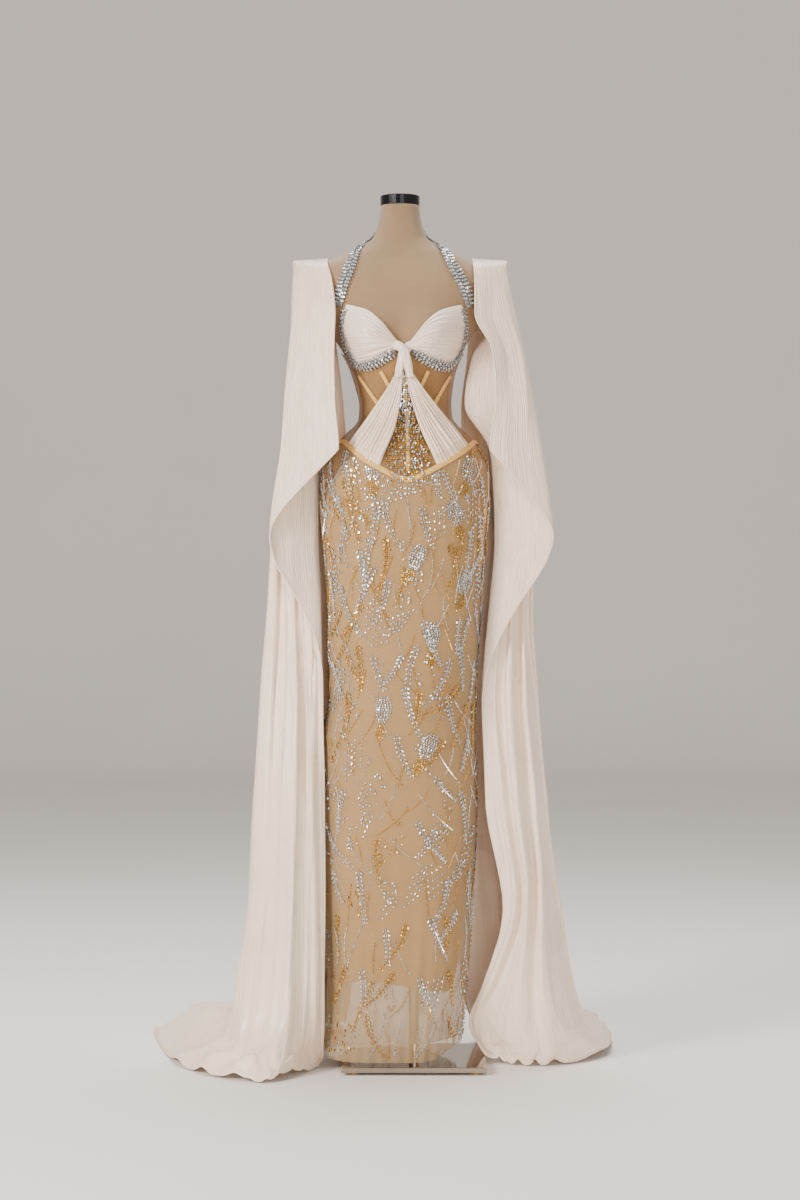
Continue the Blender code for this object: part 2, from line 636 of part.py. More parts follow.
def skirt_grid(angle, rows, inside=0.0):
    """The skirt's surface from the V seam to the hem, with soft flutes that deepen downwards."""
    facing_front = np.cos(angle) < 0
    low_point = section(GOWN_COLUMNS, GOWN_ROWS, angle, SEAM_READ_Z)
    top = seam_height(low_point[:, 0], facing_front, centre_line(SEAM_CENTRE_Z)) - GAP
    lift = HEM_LIFT * np.clip(np.sin(angle) * 1.5 - 0.5, 0, 1) ** 2
    hem = HEM_Z + lift
    share = np.linspace(0, 1, rows)[:, None] ** 1.4
    z = top + (hem - top) * share
    points = section(GOWN_COLUMNS, GOWN_ROWS, angle + 0 * z, z, 0.0, inside)
    flute = np.cos(FLUTES * angle + 3.2 * np.sin(angle))
    deep = FLUTE_DEPTH * np.clip((FLUTES_START_Z - z) / FLUTES_START_Z, 0, 1) ** 1.4
    outward = points - np.array([-0.005, 0.0, 0.0])
    outward[..., 2] = 0
    return points + unit(outward) * (flute * deep)[..., None]


def build_skirt(parent, collection, finish):
    """The outer skirt of embroidered tulle, a column open at the hem."""
    angle = np.linspace(0, 2 * math.pi, SKIRT_SIDES, endpoint=False)
    return wall("skirt", skirt_grid(angle, SKIRT_LEVELS), MESH_WALL, finish, parent, collection, True)


def build_lining(parent, collection, finish):
    """The pale inner skirt that shows through the tulle and ends above its hem."""
    angle = np.linspace(0, 2 * math.pi, LINING_SIDES, endpoint=False)
    low_point = section(GOWN_COLUMNS, GOWN_ROWS, angle, SEAM_READ_Z)
    top = seam_height(low_point[:, 0], np.cos(angle) < 0, centre_line(SEAM_CENTRE_Z)) - 0.004
    share = np.linspace(0, 1, LINING_LEVELS)[:, None] ** 1.7
    z = top + (LINING_ROWS[0][0] - top) * share
    narrowed = LINING_INSIDE + read(LINING_COLUMNS, LINING_ROWS, "narrowed", z)
    grid = section(GOWN_COLUMNS, GOWN_ROWS, angle + 0 * z, z, 0.0, narrowed)
    return wall("skirt_lining", grid, MESH_WALL, finish, parent, collection, True)


def cup_point(side, along, up, out=0.0, pleated=1.0):
    """A point of a cup: along runs from its outer end to the knot, and up from its lower to its upper edge."""
    upper = read(CUP_COLUMNS, CUP_ROWS, "upper_offset", along)
    lower = read(CUP_COLUMNS, CUP_ROWS, "lower_offset", along)
    upper_z = read(CUP_COLUMNS, CUP_ROWS, "upper_z", along)
    lower_z = read(CUP_COLUMNS, CUP_ROWS, "lower_z", along)
    arch = 4 * up * (1 - up)
    offset = lower + (upper - lower) * up + CUP_SIDE_BULGE * arch * (1 - along) ** 2
    z = lower_z + (upper_z - lower_z) * up
    x = BUST_CENTRE + side * offset
    fade = np.clip(along * 1.4, 0.25, 1) * np.clip((1 - along) * 4, 0, 1)
    pleat = pleated * CUP_PLEAT_DEPTH * np.cos(2 * math.pi * CUP_PLEATS * up) * fade
    puff = CUP_PUFF * arch * np.sin(math.pi * np.clip(along, 0, 1)) ** 0.6
    over_corset = gown_front(x, np.minimum(z, GOWN_ROWS[-1][0]), CUP_OVER_CORSET)
    clear_of_corset = over_corset + np.clip(z - CORSET_LEAVES_Z, 0, 1) * CUP_LEAVES_SLOPE
    y = np.minimum(form_front(x, z, CUP_OUT), clear_of_corset) - puff - out + pleat
    return np.stack([x, y, z], -1)


def build_cup(name, side, parent, collection, finish):
    """A cup of pleated satin, whose pleats run from the strap to the knot."""
    along = np.linspace(0, 1, 9)
    up = np.linspace(0, 1, 3 * CUP_PLEATS)
    grid = cup_point(side, along[None, :] + 0 * up[:, None], up[:, None] + 0 * along[None, :])
    return wall(name, grid, CUP_WALL, finish, parent, collection)


def cup_rim(side):
    """The trim's middle line and outward direction, down the cup's outer side and along its lower edge."""
    along = np.concatenate([np.full(7, 0.02), np.linspace(0.13, 0.93, 10)])
    up = np.concatenate([np.linspace(0.93, 0.16, 7), np.full(10, 0.0)])

    def plain(first, second):
        return cup_point(side, first, second, 0.0, 0.0)

    normal = surface_normals(plain, along, up, 0.02)
    drop = np.array([0.0, 0.0, -0.0025]) * (up < 0.1)[:, None]
    return plain(along, up) + drop + normal * CUP_TRIM_OUT, normal


def build_cup_trim(name, side, parent, collection, finish):
    """The crystal trim's backing band round the outer and lower edges of a cup."""
    path, outward = cup_rim(side)
    widths = np.interp(np.linspace(0, 1, len(path)), [0, 0.35, 0.6, 1], [0.6, 0.7, 0.9, 0.9]) * CUP_TRIM_WIDTH
    return band(name, path, outward, widths, TRIM_WALL, finish, parent, collection)


def streamer_point(side, along, across, out=0.0):
    """A point of a streamer: along runs from the knot to the seam, across from its inner to its outer edge."""
    outer = read(STREAMER_COLUMNS, STREAMER_ROWS, "outer_offset", along)
    inner = read(STREAMER_COLUMNS, STREAMER_ROWS, "inner_offset", along)
    outer_z = read(STREAMER_COLUMNS, STREAMER_ROWS, "outer_z", along)
    inner_z = read(STREAMER_COLUMNS, STREAMER_ROWS, "inner_z", along)
    z = inner_z + (outer_z - inner_z) * across
    x = centre_line(z) + side * (inner + (outer - inner) * across)
    bridge = STREAMER_BRIDGE * np.sin(math.pi * np.clip(along, 0, 1)) ** 0.8
    pleat = STREAMER_PLEAT_DEPTH * np.cos(2 * math.pi * STREAMER_PLEATS * across)
    pleat = pleat * np.clip(along * 2 - 0.2, 0, 1)
    seat = STREAMER_OUT - (STREAMER_OUT - STREAMER_TOP_OUT) * np.clip(1 - 6 * along, 0, 1)
    y = gown_front(x, z, seat + bridge + out) + pleat
    return np.stack([x, y, z], -1)


def build_streamer(name, side, parent, collection, finish):
    """A panel pleated into the knot, which spreads down to the V seam."""
    along = np.linspace(0, 1, 9)
    across = np.linspace(0, 1, 3 * STREAMER_PLEATS)
    grid = streamer_point(side, along[:, None] + 0 * across[None, :], across[None, :] + 0 * along[:, None])
    return wall(name, grid, SATIN_WALL, finish, parent, collection)


def build_knot(parent, collection, finish):
    """The twist at the centre front: a two-lobed roll that turns as it goes down."""
    share = np.linspace(0, 1, 9)
    turn = np.linspace(0, 2 * math.pi, 16, endpoint=False)
    rings = []
    for t in share:
        z = KNOT_TOP_Z + (KNOT_BOTTOM_Z - KNOT_TOP_Z) * t
        size = KNOT_RADIUS * (0.55 + 0.45 * math.sin(math.pi * (0.12 + 0.76 * t)))
        radius = size * (1 + KNOT_LOBE * np.cos(2 * (turn - KNOT_TWIST * t)))
        x = float(centre_line(z)) + radius * np.cos(turn)
        depth = float(form_front(BUST_CENTRE, KNOT_SEAT_Z)) - KNOT_OUT
        rings.append(np.stack([x, depth + 0.85 * radius * np.sin(turn), z + 0 * turn], -1))
    return loft("knot", np.array(rings), finish, parent, collection)


def gown_normal(x, z):
    """The outward normal of the corset's front."""

    def point(first, second):
        return np.stack([first, gown_front(first, second), second], -1)

    return surface_normals(point, np.asarray(x, float), np.asarray(z, float))


def build_boning(parent, collection, finish):
    """The narrow boning channels on the corset's front."""
    for name, top_offset, top_z, bottom_offset, bottom_z in BONING_ROWS:
        z = np.linspace(top_z, bottom_z, BONING_POINTS)
        x = centre_line(z) + np.linspace(top_offset, bottom_offset, BONING_POINTS)
        normal = gown_normal(x, z)
        path = np.stack([x, gown_front(x, z), z], -1) + normal * BONING_OUT
        band(name, path, normal, np.full(BONING_POINTS, BONING_WIDTH), TRIM_WALL, finish, parent, collection)


def build_binding(parent, collection, finish):
    """The bound V seam that runs right round the hips."""
    angle = np.linspace(0, 2 * math.pi, BINDING_POINTS, endpoint=False)
    low_point = section(GOWN_COLUMNS, GOWN_ROWS, angle, SEAM_READ_Z)
    z = seam_height(low_point[:, 0], np.cos(angle) < 0, centre_line(SEAM_CENTRE_Z))
    here = section(GOWN_COLUMNS, GOWN_ROWS, angle, z)
    above = section(GOWN_COLUMNS, GOWN_ROWS, angle, z + 0.004)
    beside = section(GOWN_COLUMNS, GOWN_ROWS, angle + 0.01, z)
    normal = unit(np.cross(beside - here, above - here))
    middle = np.array([0.01, 0.0, 1.15])
    normal = np.where(np.sum(normal * (here - middle), -1, keepdims=True) < 0, -normal, normal)
    path = here + normal * BINDING_OUT
    widths = np.full(BINDING_POINTS, BINDING_WIDTH)
    return band("waist_binding", path, normal, widths, TRIM_WALL, finish, parent, collection, True)


def form_point(angle, z, out=0.0):
    """A point on the dress form by its turn from the centre back and its height."""
    point = section(FORM_COLUMNS, FORM_ROWS, angle, z, out)
    point[..., 1] -= bust_swell(point[..., 0], z) * np.clip(-np.cos(angle), 0, 1) ** 0.5
    return point


def form_normal(angle, z, step=0.004):
    """The form's outward normal by turn and height."""
    round_it = form_point(angle + step, z) - form_point(angle - step, z)
    up_it = form_point(angle, z + step) - form_point(angle, z - step)
    normal = unit(np.cross(round_it, up_it))
    outward = form_point(angle, z) * np.array([1.0, 1.0, 0.0])
    return np.where(np.sum(normal * outward, -1, keepdims=True) < 0, -normal, normal)


def strap_side(side):
    """The strap's middle line on one side, from the cup to the nape, with its outward direction and width."""
    share = np.linspace(0, 1, 11)
    knots = np.linspace(0, 1, len(STRAP_ROWS))
    strap = [column(STRAP_COLUMNS, STRAP_ROWS, name) for name in STRAP_COLUMNS]
    offset, z, width = (smooth_curve(knots, values, share) for values in strap)
    offset = offset + side * STRAP_LEAN * np.clip((STRAP_ROWS[-2][1] - z) / STRAP_LEAN_SPAN, 0, 1)
    part = np.clip(offset / read(FORM_COLUMNS, FORM_ROWS, "half_width", z), 0, 0.99)
    turn = math.pi - np.arcsin(part ** (SECTION_POWER / 2))
    share = np.linspace(0, 1, 6)
    knots = np.linspace(0, 1, len(NAPE_ROWS))
    nape = [column(NAPE_COLUMNS, NAPE_ROWS, name) for name in NAPE_COLUMNS]
    round_turn, high, narrow = (smooth_curve(knots, values, share) for values in nape)
    turn = side * np.concatenate([turn, np.radians(round_turn)])
    z = np.concatenate([z, high])
    normal = form_normal(turn, z)
    return form_point(turn, z) + normal * STRAP_OUT, normal, np.concatenate([width, narrow])


def build_strap(parent, collection, finish):
    """The halter strap's backing band, from one cup round the neck to the other."""
    left = strap_side(1)
    right = strap_side(-1)
    whole = (np.concatenate([a, b[::-1][1:]]) for a, b in zip(left, right))
    path, outward, width = evened(*whole, STRAP_POINTS)
    return band("halter_strap", path, outward, width, TRIM_WALL, finish, parent, collection)


def sleeve_point(side, fold, level):
    """A point of a cape sleeve by its place between the named folds and its level between the sections."""
    tables = SLEEVE_SECTIONS[side]
    names = range(len(SLEEVE_FOLDS))
    levels = np.arange(len(tables["x"]))
    found = []
    for axis in ("x", "y"):
        rows = np.array(tables[axis])[:, 1:]
        lines = np.stack([smooth_curve(levels, rows[:, n], level) for n in names])
        found.append(smooth_between(lines, fold))
    z = smooth_curve(levels, np.array(tables["x"])[:, 0], level)
    wave = np.cos(2 * math.pi * fold * SLEEVE_WAVES_PER_FOLD + side)
    below = np.clip(level / SLEEVE_WAVES_FULL_LEVEL - 0.25, 0, 1)
    deep = SLEEVE_WAVE_DEPTH * below * np.clip(fold - SLEEVE_WAVES_FROM_FOLD, 0, 1)
    settle = np.clip(z / SLEEVE_SETTLE_Z, 0.25, 1)
    return np.stack([side * found[0], found[1] + wave * deep * settle, z], -1)


def smooth_between(lines, fold):
    """Values between fold lines: the slope at each line is held between those of its neighbours."""
    chords = np.diff(lines, axis=0)
    slopes = np.zeros_like(lines)
    slopes[0], slopes[-1] = chords[0], chords[-1]
    before, after = chords[:-1], chords[1:]
    same_way = before * after > 0
    slopes[1:-1] = np.where(same_way, 2 * before * after / np.where(same_way, before + after, 1.0), 0.0)
    index = np.clip(np.floor(fold).astype(int), 0, len(lines) - 2)
    t = fold - index
    pick = tuple(np.indices(fold.shape))
    low, high = lines[(index, *pick)], lines[(index + 1, *pick)]
    low_slope, high_slope = slopes[(index, *pick)], slopes[(index + 1, *pick)]
    start = (1 + 2 * t) * (1 - t) ** 2 * low + t * (1 - t) ** 2 * low_slope
    end = t**2 * (3 - 2 * t) * high + t**2 * (t - 1) * high_slope
    return start + end


def sleeve_grid(side):
    """The sleeve's columns follow the folds from the shoulder ridge, and each stops at its own hem level."""
    steps = [np.linspace(n, n + 1, count, endpoint=False) for n, count in enumerate(SLEEVE_STEPS)]
    fold = np.concatenate([*steps, [len(SLEEVE_STEPS)]])
    side_name = "wearer_left" if side > 0 else "wearer_right"
    ends = column(SLEEVE_HEM_COLUMNS, SLEEVE_HEM_ROWS, side_name)
    hem = np.interp(fold, column(SLEEVE_HEM_COLUMNS, SLEEVE_HEM_ROWS, "fold"), ends)
    level = np.minimum(np.array(SLEEVE_LEVELS)[:, None], hem[None, :])
    grid = sleeve_point(side, fold[None, :] + 0 * level, level)
    front, back = SLEEVE_STEPS[0], sum(SLEEVE_STEPS[-2:])
    reach = np.ones(len(fold))
    reach[: front + 1] = np.linspace(0, 1, front + 1)
    reach[-back - 1 :] = np.linspace(1, 0, back + 1)
    (inner_x, inner_z), (outer_x, outer_z) = RIDGE_ENDS
    ridge_x = side * (inner_x + (outer_x - inner_x) * reach)
    grid[0] = np.stack([ridge_x, 0 * reach, inner_z + (outer_z - inner_z) * reach], -1)
    return grid


def build_sleeve(name, side, parent, collection, finish):
    """A floor-length cape sleeve in one piece, folded over the shoulder."""
    return wall(name, sleeve_grid(side), SATIN_WALL, finish, parent, collection)


def main():
    """Builds the gown on its form and stand."""
    for old in list(bpy.data.objects):
        bpy.data.objects.remove(old, do_unlink=True)
    collection = bpy.data.collections.new("halter_gown")
    bpy.context.scene.collection.children.link(collection)
    gown = bpy.data.objects.new("gown_centre", None)
    gown.location = (GOWN_CENTRE_X, 0, 0)
    collection.objects.link(gown)

    steel = material("mirror steel", (0.62, 0.60, 0.57), 0.12, 1.0)
    build_stand(collection, steel, material("pale rubber", (0.72, 0.52, 0.12), 0.6))
    build_form(gown, collection, material("beige linen", (0.44, 0.30, 0.19), 0.85))
    build_neck_cap(gown, collection, material("dark steel", (0.10, 0.10, 0.10), 0.15, 1.0))
    build_corset(gown, collection, material("sheer mesh", (0.45, 0.28, 0.14), 0.6))
    build_skirt(gown, collection, material("beaded tulle", (0.50, 0.34, 0.20), 0.5))
    build_lining(gown, collection, material("gold lining", (0.49, 0.26, 0.09), 0.45))
    build_boning(gown, collection, material("boning tape", (0.62, 0.38, 0.14), 0.6))
    build_binding(gown, collection, material("waist tape", (0.71, 0.49, 0.26), 0.6))
    satin = material("ivory satin", (0.79, 0.74, 0.68), 0.35)
    trim = material("crystal trim", (0.66, 0.66, 0.66), 0.25, 0.6)
    build_knot(gown, collection, satin)
    build_strap(gown, collection, trim)
    for name, side in (("left", 1), ("right", -1)):
        build_cup(f"cup_{name}", side, gown, collection, satin)
        build_cup_trim(f"cup_trim_{name}", side, gown, collection, trim)
        build_streamer(f"streamer_{name}", side, gown, collection, satin)
        build_sleeve(f"cape_sleeve_{name}", side, gown, collection, satin)


main()
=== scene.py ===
"""A halter gown with cape sleeves on its dress form: the look of each piece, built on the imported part.

The gown faces -Y and stands on +Z. Left and right are the wearer's: the wearer's left is at +X.
Every cloth surface is a function of two parameters, worked out on a whole grid at once. The tables and
formulas of the main shapes are the ones that the solids were made from, read here at a finer step.
"""

import math

import bmesh
import bpy
import numpy as np
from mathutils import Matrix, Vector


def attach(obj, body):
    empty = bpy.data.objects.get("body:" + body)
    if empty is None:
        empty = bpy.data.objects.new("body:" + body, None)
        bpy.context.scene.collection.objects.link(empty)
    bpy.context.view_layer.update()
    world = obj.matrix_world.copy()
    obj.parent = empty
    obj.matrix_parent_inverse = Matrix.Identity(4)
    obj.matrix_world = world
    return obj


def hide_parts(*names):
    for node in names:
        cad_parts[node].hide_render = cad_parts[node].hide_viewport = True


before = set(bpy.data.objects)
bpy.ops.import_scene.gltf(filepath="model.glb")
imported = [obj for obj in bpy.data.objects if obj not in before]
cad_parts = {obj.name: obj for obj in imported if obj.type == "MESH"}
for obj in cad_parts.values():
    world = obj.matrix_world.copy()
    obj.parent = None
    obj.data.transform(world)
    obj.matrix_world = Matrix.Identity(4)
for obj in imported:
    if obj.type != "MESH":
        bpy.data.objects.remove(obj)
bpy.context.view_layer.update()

bl_info = {
    "name": "Halter Gown",
    "version": (1, 0, 0),
    "blender": (4, 5, 0),
    "location": "View3D > Sidebar > Halter Gown",
    "description": "Builds the cloth, crystals and stand of a halter gown with cape sleeves",
    "category": "Object",
}


# The gown's middle in the part's frame, and the gap between pieces that meet.
GOWN_CENTRE_X = -0.026
GAP = 0.0003

# The tapes' thickness, and how far each layer's middle surface stands out from the corset's.
TRIM_WALL = 0.0014
BONING_OUT = 0.0024
BINDING_OUT = 0.0020
STREAMER_OUT = 0.0079
STREAMER_TOP_OUT = 0.0017

# The power of the rounded sections: 2 is an ellipse, and a higher one is squarer.
SECTION_POWER = 2.2

# Leaves the level part of a vector.
LEVEL = np.array((1.0, 1.0, 0.0))

# The dress form: one row for each horizontal section, from the underside to the top of the neck.
FORM_COLUMNS = ("z", "centre", "half_width", "front", "back")
FORM_ROWS = (
    (0.800, 0.010, 0.112, 0.088, 0.092),
    (0.900, 0.010, 0.126, 0.100, 0.108),
    (1.000, 0.010, 0.139, 0.105, 0.118),
    (1.070, 0.010, 0.146, 0.105, 0.120),
    (1.127, 0.009, 0.143, 0.100, 0.114),
    (1.160, 0.011, 0.124, 0.090, 0.102),
    (1.200, 0.011, 0.096, 0.077, 0.085),
    (1.226, 0.011, 0.083, 0.072, 0.073),
    (1.250, 0.010, 0.082, 0.071, 0.071),
    (1.280, 0.008, 0.086, 0.075, 0.073),
    (1.310, 0.006, 0.093, 0.082, 0.077),
    (1.340, 0.005, 0.107, 0.088, 0.083),
    (1.365, 0.004, 0.122, 0.092, 0.088),
    (1.390, 0.003, 0.141, 0.093, 0.091),
    (1.410, 0.002, 0.160, 0.092, 0.092),
    (1.435, 0.000, 0.183, 0.089, 0.091),
    (1.460, 0.000, 0.191, 0.085, 0.089),
    (1.480, 0.000, 0.189, 0.079, 0.085),
    (1.500, 0.000, 0.178, 0.071, 0.079),
    (1.514, 0.000, 0.158, 0.065, 0.072),
    (1.526, 0.000, 0.130, 0.060, 0.066),
    (1.538, 0.000, 0.100, 0.056, 0.061),
    (1.550, 0.000, 0.073, 0.051, 0.056),
    (1.565, 0.000, 0.053, 0.047, 0.052),
    (1.585, 0.000, 0.044, 0.043, 0.049),
    (1.605, 0.000, 0.039, 0.039, 0.045),
    (1.628, 0.000, 0.0365, 0.0365, 0.0395),
)
BUST_APEX_X = 0.062
BUST_APEX_Z = 1.378
BUST_WIDTH = 0.044
BUST_HEIGHT = 0.044
BUST_DEPTH = 0.026

# The outside of the corset and the skirt: one row for each horizontal section, from the hem up.
GOWN_COLUMNS = ("z", "centre", "half_width", "front", "back")
GOWN_ROWS = (
    (0.022, -0.020, 0.1310, 0.112, 0.114),
    (0.120, -0.010, 0.1320, 0.112, 0.114),
    (0.215, -0.006, 0.1370, 0.112, 0.114),
    (0.310, -0.006, 0.1425, 0.112, 0.115),
    (0.500, -0.003, 0.1490, 0.113, 0.117),
    (0.614, -0.0025, 0.1460, 0.114, 0.119),
    (0.690, 0.0045, 0.1400, 0.114, 0.120),
    (0.804, 0.006, 0.1435, 0.115, 0.122),
    (0.880, 0.009, 0.1455, 0.116, 0.125),
    (0.975, 0.0095, 0.1530, 0.118, 0.131),
    (1.070, 0.0095, 0.1600, 0.117, 0.133),
    (1.127, 0.0085, 0.1590, 0.112, 0.128),
    (1.1745, 0.013, 0.1350, 0.100, 0.113),
    (1.1955, 0.012, 0.1150, 0.091, 0.100),
    (1.2125, 0.012, 0.0970, 0.084, 0.088),
    (1.226, 0.0105, 0.0890, 0.079, 0.080),
    (1.2505, 0.0100, 0.0875, 0.077, 0.077),
    (1.279, 0.0080, 0.0920, 0.080, 0.078),
    (1.3075, 0.0060, 0.0985, 0.087, 0.082),
    (1.330, 0.0055, 0.1070, 0.093, 0.087),
    (1.345, 0.0050, 0.1150, 0.098, 0.090),
    (1.365, 0.0045, 0.1280, 0.102, 0.094),
)

# The pale lining, which ends above the hem and narrows there.
LINING_INSIDE = 0.0035
LINING_COLUMNS = ("z", "narrowed")
LINING_ROWS = (
    (0.155, 0.019),
    (0.230, 0.012),
    (0.400, 0.008),
    (0.650, 0.004),
    (0.850, 0.000),
    (1.180, 0.000),
)

# The V seam between corset and skirt, and the corset's upper edge.
SEAM_SIDE_Z = 1.177
SEAM_FRONT_Z = 1.104
SEAM_BACK_Z = 1.140
SEAM_ROUNDING = 0.016
SEAM_SPAN = 0.122
SEAM_READ_Z = 1.150
SEAM_CENTRE_Z = 1.120
HEM_Z = 0.020
HEM_LIFT = 0.030
FLUTES = 9
FLUTE_DEPTH = 0.0035
FLUTES_START_Z = 0.75
CORSET_TOP_COLUMNS = ("offset", "z")
CORSET_TOP_ROWS = (
    (0.000, 1.338),
    (0.018, 1.331),
    (0.045, 1.315),
    (0.075, 1.309),
    (0.094, 1.316),
    (0.104, 1.332),
    (0.116, 1.352),
)
CORSET_BACK_TOP_Z = 1.345

# The cups: their upper and lower edges, from the outer end to the knot. The offset is from BUST_CENTRE.
BUST_CENTRE = 0.0075
CUP_COLUMNS = ("along", "upper_offset", "upper_z", "lower_offset", "lower_z")
CUP_ROWS = (
    (0.00, 0.1075, 1.432, 0.0900, 1.3185),
    (0.35, 0.0720, 1.421, 0.0635, 1.3235),
    (0.62, 0.0430, 1.399, 0.0400, 1.3335),
    (0.82, 0.0245, 1.376, 0.0240, 1.3430),
    (1.00, 0.0118, 1.361, 0.0118, 1.3470),
)
CUP_SIDE_BULGE = 0.017
CUP_OUT = 0.0065
CUP_OVER_CORSET = 0.0045
CORSET_LEAVES_Z = 1.338
CUP_LEAVES_SLOPE = 0.7
CUP_PUFF = 0.0080

# The pleated streamers, from the knot down to the V seam. Offsets are from the gown's centre line.
STREAMER_COLUMNS = ("along", "outer_offset", "outer_z", "inner_offset", "inner_z")
STREAMER_ROWS = (
    (0.00, 0.0120, 1.3090, 0.0020, 1.3060),
    (0.30, 0.0330, 1.2760, 0.0090, 1.2610),
    (0.62, 0.0640, 1.2350, 0.0220, 1.2070),
    (1.00, 0.1110, 1.1745, 0.0500, 1.1400),
)
STREAMER_BRIDGE = 0.010
CENTRE_COLUMNS = ("z", "x")
CENTRE_ROWS = (
    (1.100, 0.0160),
    (1.200, 0.0140),
    (1.300, 0.0085),
    (1.420, 0.0060),
)

# The boning channels in the corset: name, then offset from the centre line and height of the upper and the
# lower end.
BONING_WIDTH = 0.0075
BONING_ROWS = (
    ("boning_right_outer", -0.0850, 1.3020, -0.0200, 1.1950),
    ("boning_right_inner", -0.0440, 1.3080, -0.0140, 1.2500),
    ("boning_centre", 0.0000, 1.2950, 0.0000, 1.1200),
    ("boning_left_inner", 0.0440, 1.3080, 0.0140, 1.2500),
    ("boning_left_outer", 0.0850, 1.3020, 0.0200, 1.1950),
)
BINDING_WIDTH = 0.0100

# The height at which the knot is seated on the form.
KNOT_SEAT_Z = 1.335

# The halter strap: up each side of the chest by its offset from the centre, then round the neck by its turn.
STRAP_OUT = 0.0030
STRAP_LEAN = 0.0075
STRAP_LEAN_SPAN = 0.09
STRAP_COLUMNS = ("offset", "z", "width")
STRAP_ROWS = (
    (0.1225, 1.4300, 0.016),
    (0.1180, 1.4500, 0.018),
    (0.1120, 1.4700, 0.019),
    (0.1015, 1.4930, 0.019),
    (0.0900, 1.5200, 0.017),
    (0.0800, 1.5400, 0.015),
    (0.0685, 1.5515, 0.012),
)
NAPE_COLUMNS = ("turn", "z", "width")
NAPE_ROWS = (
    (88.0, 1.5640, 0.010),
    (60.0, 1.5830, 0.008),
    (30.0, 1.5960, 0.008),
    (0.0, 1.6010, 0.008),
)
CUP_TRIM_WIDTH = 0.013
CUP_TRIM_OUT = 0.0029
CUP_TRIM_DROP = 0.0025

# The cape sleeves. Each is one sheet that hangs in folds, named here from its front edge to its back edge.
SLEEVE_FOLDS = ("edge", "front_turn", "inner_turn", "low_edge", "roll", "back_turn", "tail", "back_edge")
SLEEVE_WAVES_PER_FOLD = 1.45
SLEEVE_WAVE_DEPTH = 0.009
SLEEVE_WAVES_FULL_LEVEL = 9
SLEEVE_WAVES_FROM_FOLD = 2.6
SLEEVE_SETTLE_Z = 0.104
RIDGE_ENDS = ((0.139, 1.5278), (0.203, 1.5240))

